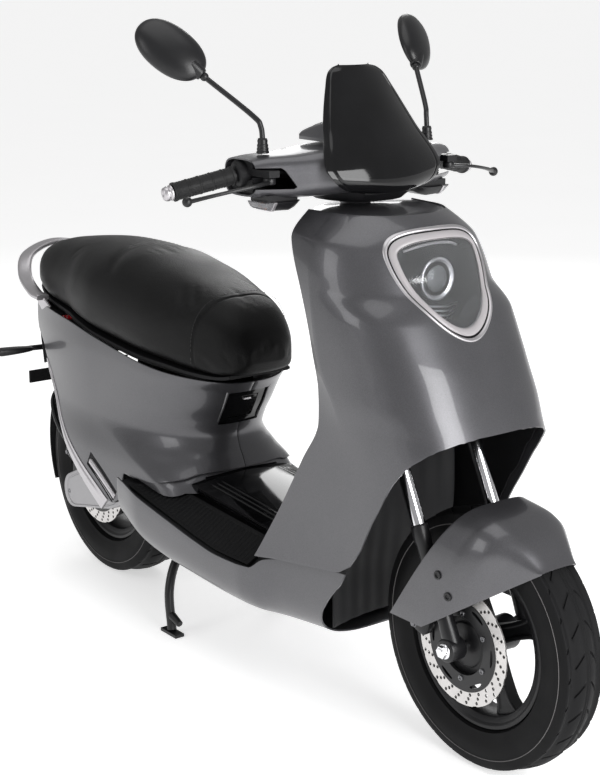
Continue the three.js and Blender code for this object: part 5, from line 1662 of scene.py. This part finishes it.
def make_front_indicators():
    for word, side in RIGHT_AND_LEFT:
        lens = Shape().loft([indicator_loop(x, i, 0.8) for x, i in
                             ((-215.5, 10), (-213, 6.5), (-208, 3.6), (-200, 1.4), (-196, 1))])
        piece("indicator_lens_" + word, lens.on_side(side), "smoke_lens", "steering",
              nodes=["turn_front_" + word], smooth=50)
        bulb = Shape().ball((-192, -250, 959), (9, 12, 5), 20)
        piece("indicator_bulb_" + word, bulb.on_side(side), "amber_lens", "steering", smooth=60)
        rim = Shape().loft([indicator_loop(x, i) for x, i in
                            ((-197.5, 1.6), (-197, 0.4), (-192, 0.2), (-191.5, 1))])
        piece("indicator_rim_" + word, rim.on_side(side), "satin_silver", "steering", smooth=40)
        body = Shape().loft([indicator_loop(x, i, 0.3) for x, i in
                             ((-191.5, 1), (-160, 0), (-145, 4), (-136, 9))])
        body.box((-206, -274, 965), (-142, -222, 979))
        piece("indicator_body_" + word, body.on_side(side), "satin_black", "steering", smooth=40, bevel=0.6)


def make_stem():
    column = Shape().rod((0, steer_y(590), 590), (0, steer_y(975), 975), 15.5, sides=48)
    tilt = Matrix.Rotation(-math.atan(FORK_SLOPE), 3, "X")
    origin = Vector((0, steer_y(586), 586))
    loops = []
    for x in range(-108, 109, 9):
        edge = 3 if abs(x) > 104 else 0
        loops.append([origin + tilt @ Vector((x, -16.5 + (38.5 - edge) * power(math.cos(a), 0.35),
                                              (13 - edge) * power(math.sin(a), 0.5)))
                      for a in turns(32, 0.5)])
    column.loft(loops)
    piece("steering_column", column, "cast_black", "steering", nodes=["steering_stem"], bevel=0.8)


# ---------------------------------------------------------------- shocks, stand, covers and frame


SPRING_TURNS = 8.5


def make_shocks():
    top, foot = Vector((-108, 602, 516)), Vector((-108, 606, 284))
    axis = (top - foot).normalized()
    for word, side in RIGHT_AND_LEFT:
        cap = [(0, 0), (0, 9), (34, 9), (34, 21), (44, 21), (46, 18), (110, 17.5), (112, 16), (112, 0)]
        upper = Shape().turned(top, -axis, cap, 48, 0.8)
        piece("shock_cap_" + word, upper.on_side(side), "satin_black", "chassis",
              nodes=["shock_" + word], bevel=0.4)
        lower = Shape().rod((-118, 606, 284), (-98, 606, 284), 11)
        damper = [(6, 0), (6, 9), (16, 14), (16, 20), (22, 20), (24, 13), (90, 12.5), (92, 6), (150, 6),
                  (150, 0)]
        lower.turned(foot, axis, damper, 48, 0.8)
        piece("shock_body_" + word, lower.on_side(side), "cast_grey", "swingarm", bevel=0.4)
        across = axis.cross(Vector((1, 0, 0))).normalized()
        other = axis.cross(across)
        spring = []
        for k in range(241):
            a = 2 * math.pi * SPRING_TURNS * k / 240
            spring.append(foot + axis * lerp(26, 178, k / 240)
                          + (across * math.cos(a) + other * math.sin(a)) * 16.6)
        coil = Shape().sweep(spring, lambda t: circle(3.2, 12))
        piece("shock_spring_" + word, coil.on_side(side), "bright_chrome", "swingarm", smooth=60)


def rounded_outline(points, radius, steps=6):
    """The (y, z) polygon with its corners rounded off."""
    pts = [Vector(p) for p in points]
    out = []
    for before, here, after in zip(pts[-1:] + pts[:-1], pts, pts[1:] + pts[:1]):
        a = here + (before - here).normalized() * min(radius, 0.45 * (before - here).length)
        c = here + (after - here).normalized() * min(radius, 0.45 * (after - here).length)
        out += corner(a, here, c, steps)
    return out


def make_hub_cover():
    points = [(645, 182), (648, 208), (636, 232), (560, 268), (460, 268), (400, 256), (388, 222), (440, 200),
              (613, 160), (632, 166)]
    outline = rounded_outline(points, 16)
    middle = sum(outline, Vector((0, 0))) / len(outline)

    def loop(x, scale):
        return [Vector((x, *(middle + (p - middle) * scale))) for p in outline]

    cover = Shape().loft([loop(x, scale) for x, scale in
                          ((-107, 1), (-120.5, 1), (-123.2, 0.985), (-123.9, 0.955), (-123.9, 0.86),
                           (-122.4, 0.845), (-122.4, 0.80), (-123.9, 0.785), (-123.9, 0.4))])
    piece("hub_cover_pad", cover, "cover_silver", "swingarm", nodes=["hub_cover"], bevel=0.5, smooth=30)
    bolts = Shape()
    for y, z in ((622, 196), (468, 236), (428, 228), (560, 246)):
        socket_bolt(bolts, (-123.5, y, z), (-1, 0, 0), 5.5, 1.2)
    piece("hub_cover_bolts", bolts, "cast_grey", "swingarm")


def make_swingarm():
    points = [(249, 222), (269, 256), (440, 262), (636, 266), (640, 206), (440, 212)]
    outline = [Vector((-104, p.x, p.y)) for p in rounded_outline(points, 14)]
    arm = Shape().plate(outline, (12, 0, 0)).both()
    arm.rod((-106, *REAR_AXLE), (106, *REAR_AXLE), 8.6)
    arm.rod((-98, 265, 238), (98, 265, 238), 8)
    piece("swingarm_plates", arm, "cast_black", "swingarm", nodes=["swingarm"], bevel=1.5)
    nut = Shape().turned((-104.2, *REAR_AXLE), (-1, 0, 0), [(0, 0), (0, 15), (1.6, 15), (1.6, 0)], 36, 0.4)
    nut.turned((-105, *REAR_AXLE), (-1, 0, 0), [(0, 0), (0, 12), (10, 12), (10, 0)], 6, 0.6)
    piece("rear_axle_nut_left", nut.mirrored(), "bright_chrome", "swingarm", bevel=0.5)


def make_stand():
    legs = Shape().pipe([(-40, 212, 192), (-98, 206, 150), (-131, 190, 90), (-138, 172, 8)], 10, 48)
    legs.box((-150, 140, 0), (-128, 198, 7))
    legs.rod((-138, 170, 40), (-138, 140, 30), 9, 7)
    both = legs.both()
    both.rod((-55, 212, 198), (55, 212, 198), 12)
    both.rod((-82, 212, 198), (82, 212, 198), 6)
    piece("centre_stand_legs", both, "satin_black", "stand", nodes=["center_stand"], bevel=1.0)


def make_footrests():
    path = smooth_path([(-166, 338, 264), (-167, 392, 297), (-167, 440, 323)], 60)
    bar = Shape().sweep(path, lambda t: rounded_bar(15 - 4 * (t > 0.97), 11 - 3 * (t > 0.97), 28, 0.55),
                        up=(0, -0.5, 0.86))
    for word, side in RIGHT_AND_LEFT:
        piece("footrest_bar_" + word, bar.on_side(side), "satin_silver", "footrest_" + word,
              nodes=["footrest_" + word], bevel=0.6, smooth=50)


def dress_cad_nodes():
    """Gives the CAD nodes that stay in view their finish."""
    looks = {"main_frame": "cast_black", "storage_bucket": "grained_black"}
    for node, finish in looks.items():
        obj = bpy.data.objects[node]
        obj.data.materials.clear()
        obj.data.materials.append(LOOKS[finish][0])
        edge = obj.modifiers.new("edge", "BEVEL")
        edge.width = 0.8 * MM
        edge.segments = 2
        edge.limit_method = "ANGLE"


# ---------------------------------------------------------------- stage, light and camera


def stage_material():
    material = bpy.data.materials.new("backdrop")
    material.use_nodes = True
    make = node_maker(material.node_tree)
    shader = material.node_tree.nodes["Principled BSDF"]
    where = make("ShaderNodeTexCoord").outputs["Object"]
    clouds = make("ShaderNodeTexNoise", Vector=where, Scale=1.5).outputs["Fac"]
    tint = material.node_tree.nodes.new("ShaderNodeValToRGB")
    tint.color_ramp.elements[0].color = (0.90, 0.90, 0.90, 1)
    tint.color_ramp.elements[1].color = (0.94, 0.94, 0.94, 1)
    material.node_tree.links.new(clouds, tint.inputs["Fac"])
    material.node_tree.links.new(tint.outputs["Color"], shader.inputs["Base Color"])
    shader.inputs["Roughness"].default_value = 0.85
    shader.inputs["Specular IOR Level"].default_value = 0.2
    shader.inputs["Emission Color"].default_value = (1, 1, 1, 1)
    shader.inputs["Emission Strength"].default_value = 0.55
    return material


def area_light(name, position, target, size, watts):
    light = bpy.data.lights.new(name, "AREA")
    light.shape = "RECTANGLE"
    light.size, light.size_y = size
    light.energy = watts
    obj = bpy.data.objects.new(name, light)
    bpy.context.scene.collection.objects.link(obj)
    obj.location = position
    obj.rotation_euler = (Vector(target) - Vector(position)).to_track_quat("-Z", "Y").to_euler()


# name, position, target, size in metres and watts
LIGHTS = (("overhead", (-0.4, 0.0, 3.4), (0, 0.0, 0.5), (2.2, 2.2), 20),
          ("side_softbox", (-3.6, 0.6, 2.0), (0, 0.1, 0.6), (1.3, 1.8), 20),
          ("front_softbox", (0.0, -3.7, 1.6), (0, -0.5, 0.7), (1.9, 2.6), 125),
          ("back_strip", (2.6, 2.8, 2.4), (0, 0, 0.7), (1.2, 2.4), 30))
FLOOR_REACH = 150


def make_stage():
    mesh = bpy.data.meshes.new("floor")
    size = FLOOR_REACH
    corners = [(-size, -size, 0), (size, -size, 0), (size, size, 0), (-size, size, 0)]
    mesh.from_pydata(corners, [], [(0, 1, 2, 3)])
    ground = bpy.data.objects.new("floor", mesh)
    bpy.context.scene.collection.objects.link(ground)
    mesh.materials.append(stage_material())
    world = bpy.data.worlds.new("studio")
    bpy.context.scene.world = world
    world.use_nodes = True
    world.node_tree.nodes["Background"].inputs["Color"].default_value = (1, 1, 1, 1)
    world.node_tree.nodes["Background"].inputs["Strength"].default_value = 0.38
    bpy.context.scene.view_settings.view_transform = "Standard"
    for light in LIGHTS:
        area_light(*light)


def make_camera():
    data = bpy.data.cameras.new("view")
    data.sensor_width = 36
    data.lens = 75.16
    data.sensor_fit = "VERTICAL"
    data.sensor_height = 36
    obj = bpy.data.objects.new("view", data)
    bpy.context.scene.collection.objects.link(obj)
    obj.location = (-1.8476, -2.5279, 1.3564)
    yaw, pitch = math.radians(37.199), math.radians(14.45)
    heading = Vector((math.sin(yaw) * math.cos(pitch), math.cos(yaw) * math.cos(pitch), -math.sin(pitch)))
    obj.rotation_euler = heading.to_track_quat("-Z", "Y").to_euler()
    bpy.context.scene.camera = obj


make_camera()
make_stage()
make_wheels()
make_fork()
make_fender()
make_shield()
make_headlight()
make_leg_shield()
make_wheel_well()
make_lower_fairing()
make_floor_mats()
make_tunnel()
make_side_panels()
make_foot_skirts()
make_lock_panel()
make_trim()
make_grab_rail()
make_tail()
make_hugger()
make_seat()
make_cowl()
make_screen()
make_dash()
make_bars()
make_mirrors()
make_front_indicators()
make_stem()
make_shocks()
make_hub_cover()
make_swingarm()
make_stand()
make_footrests()
dress_cad_nodes()
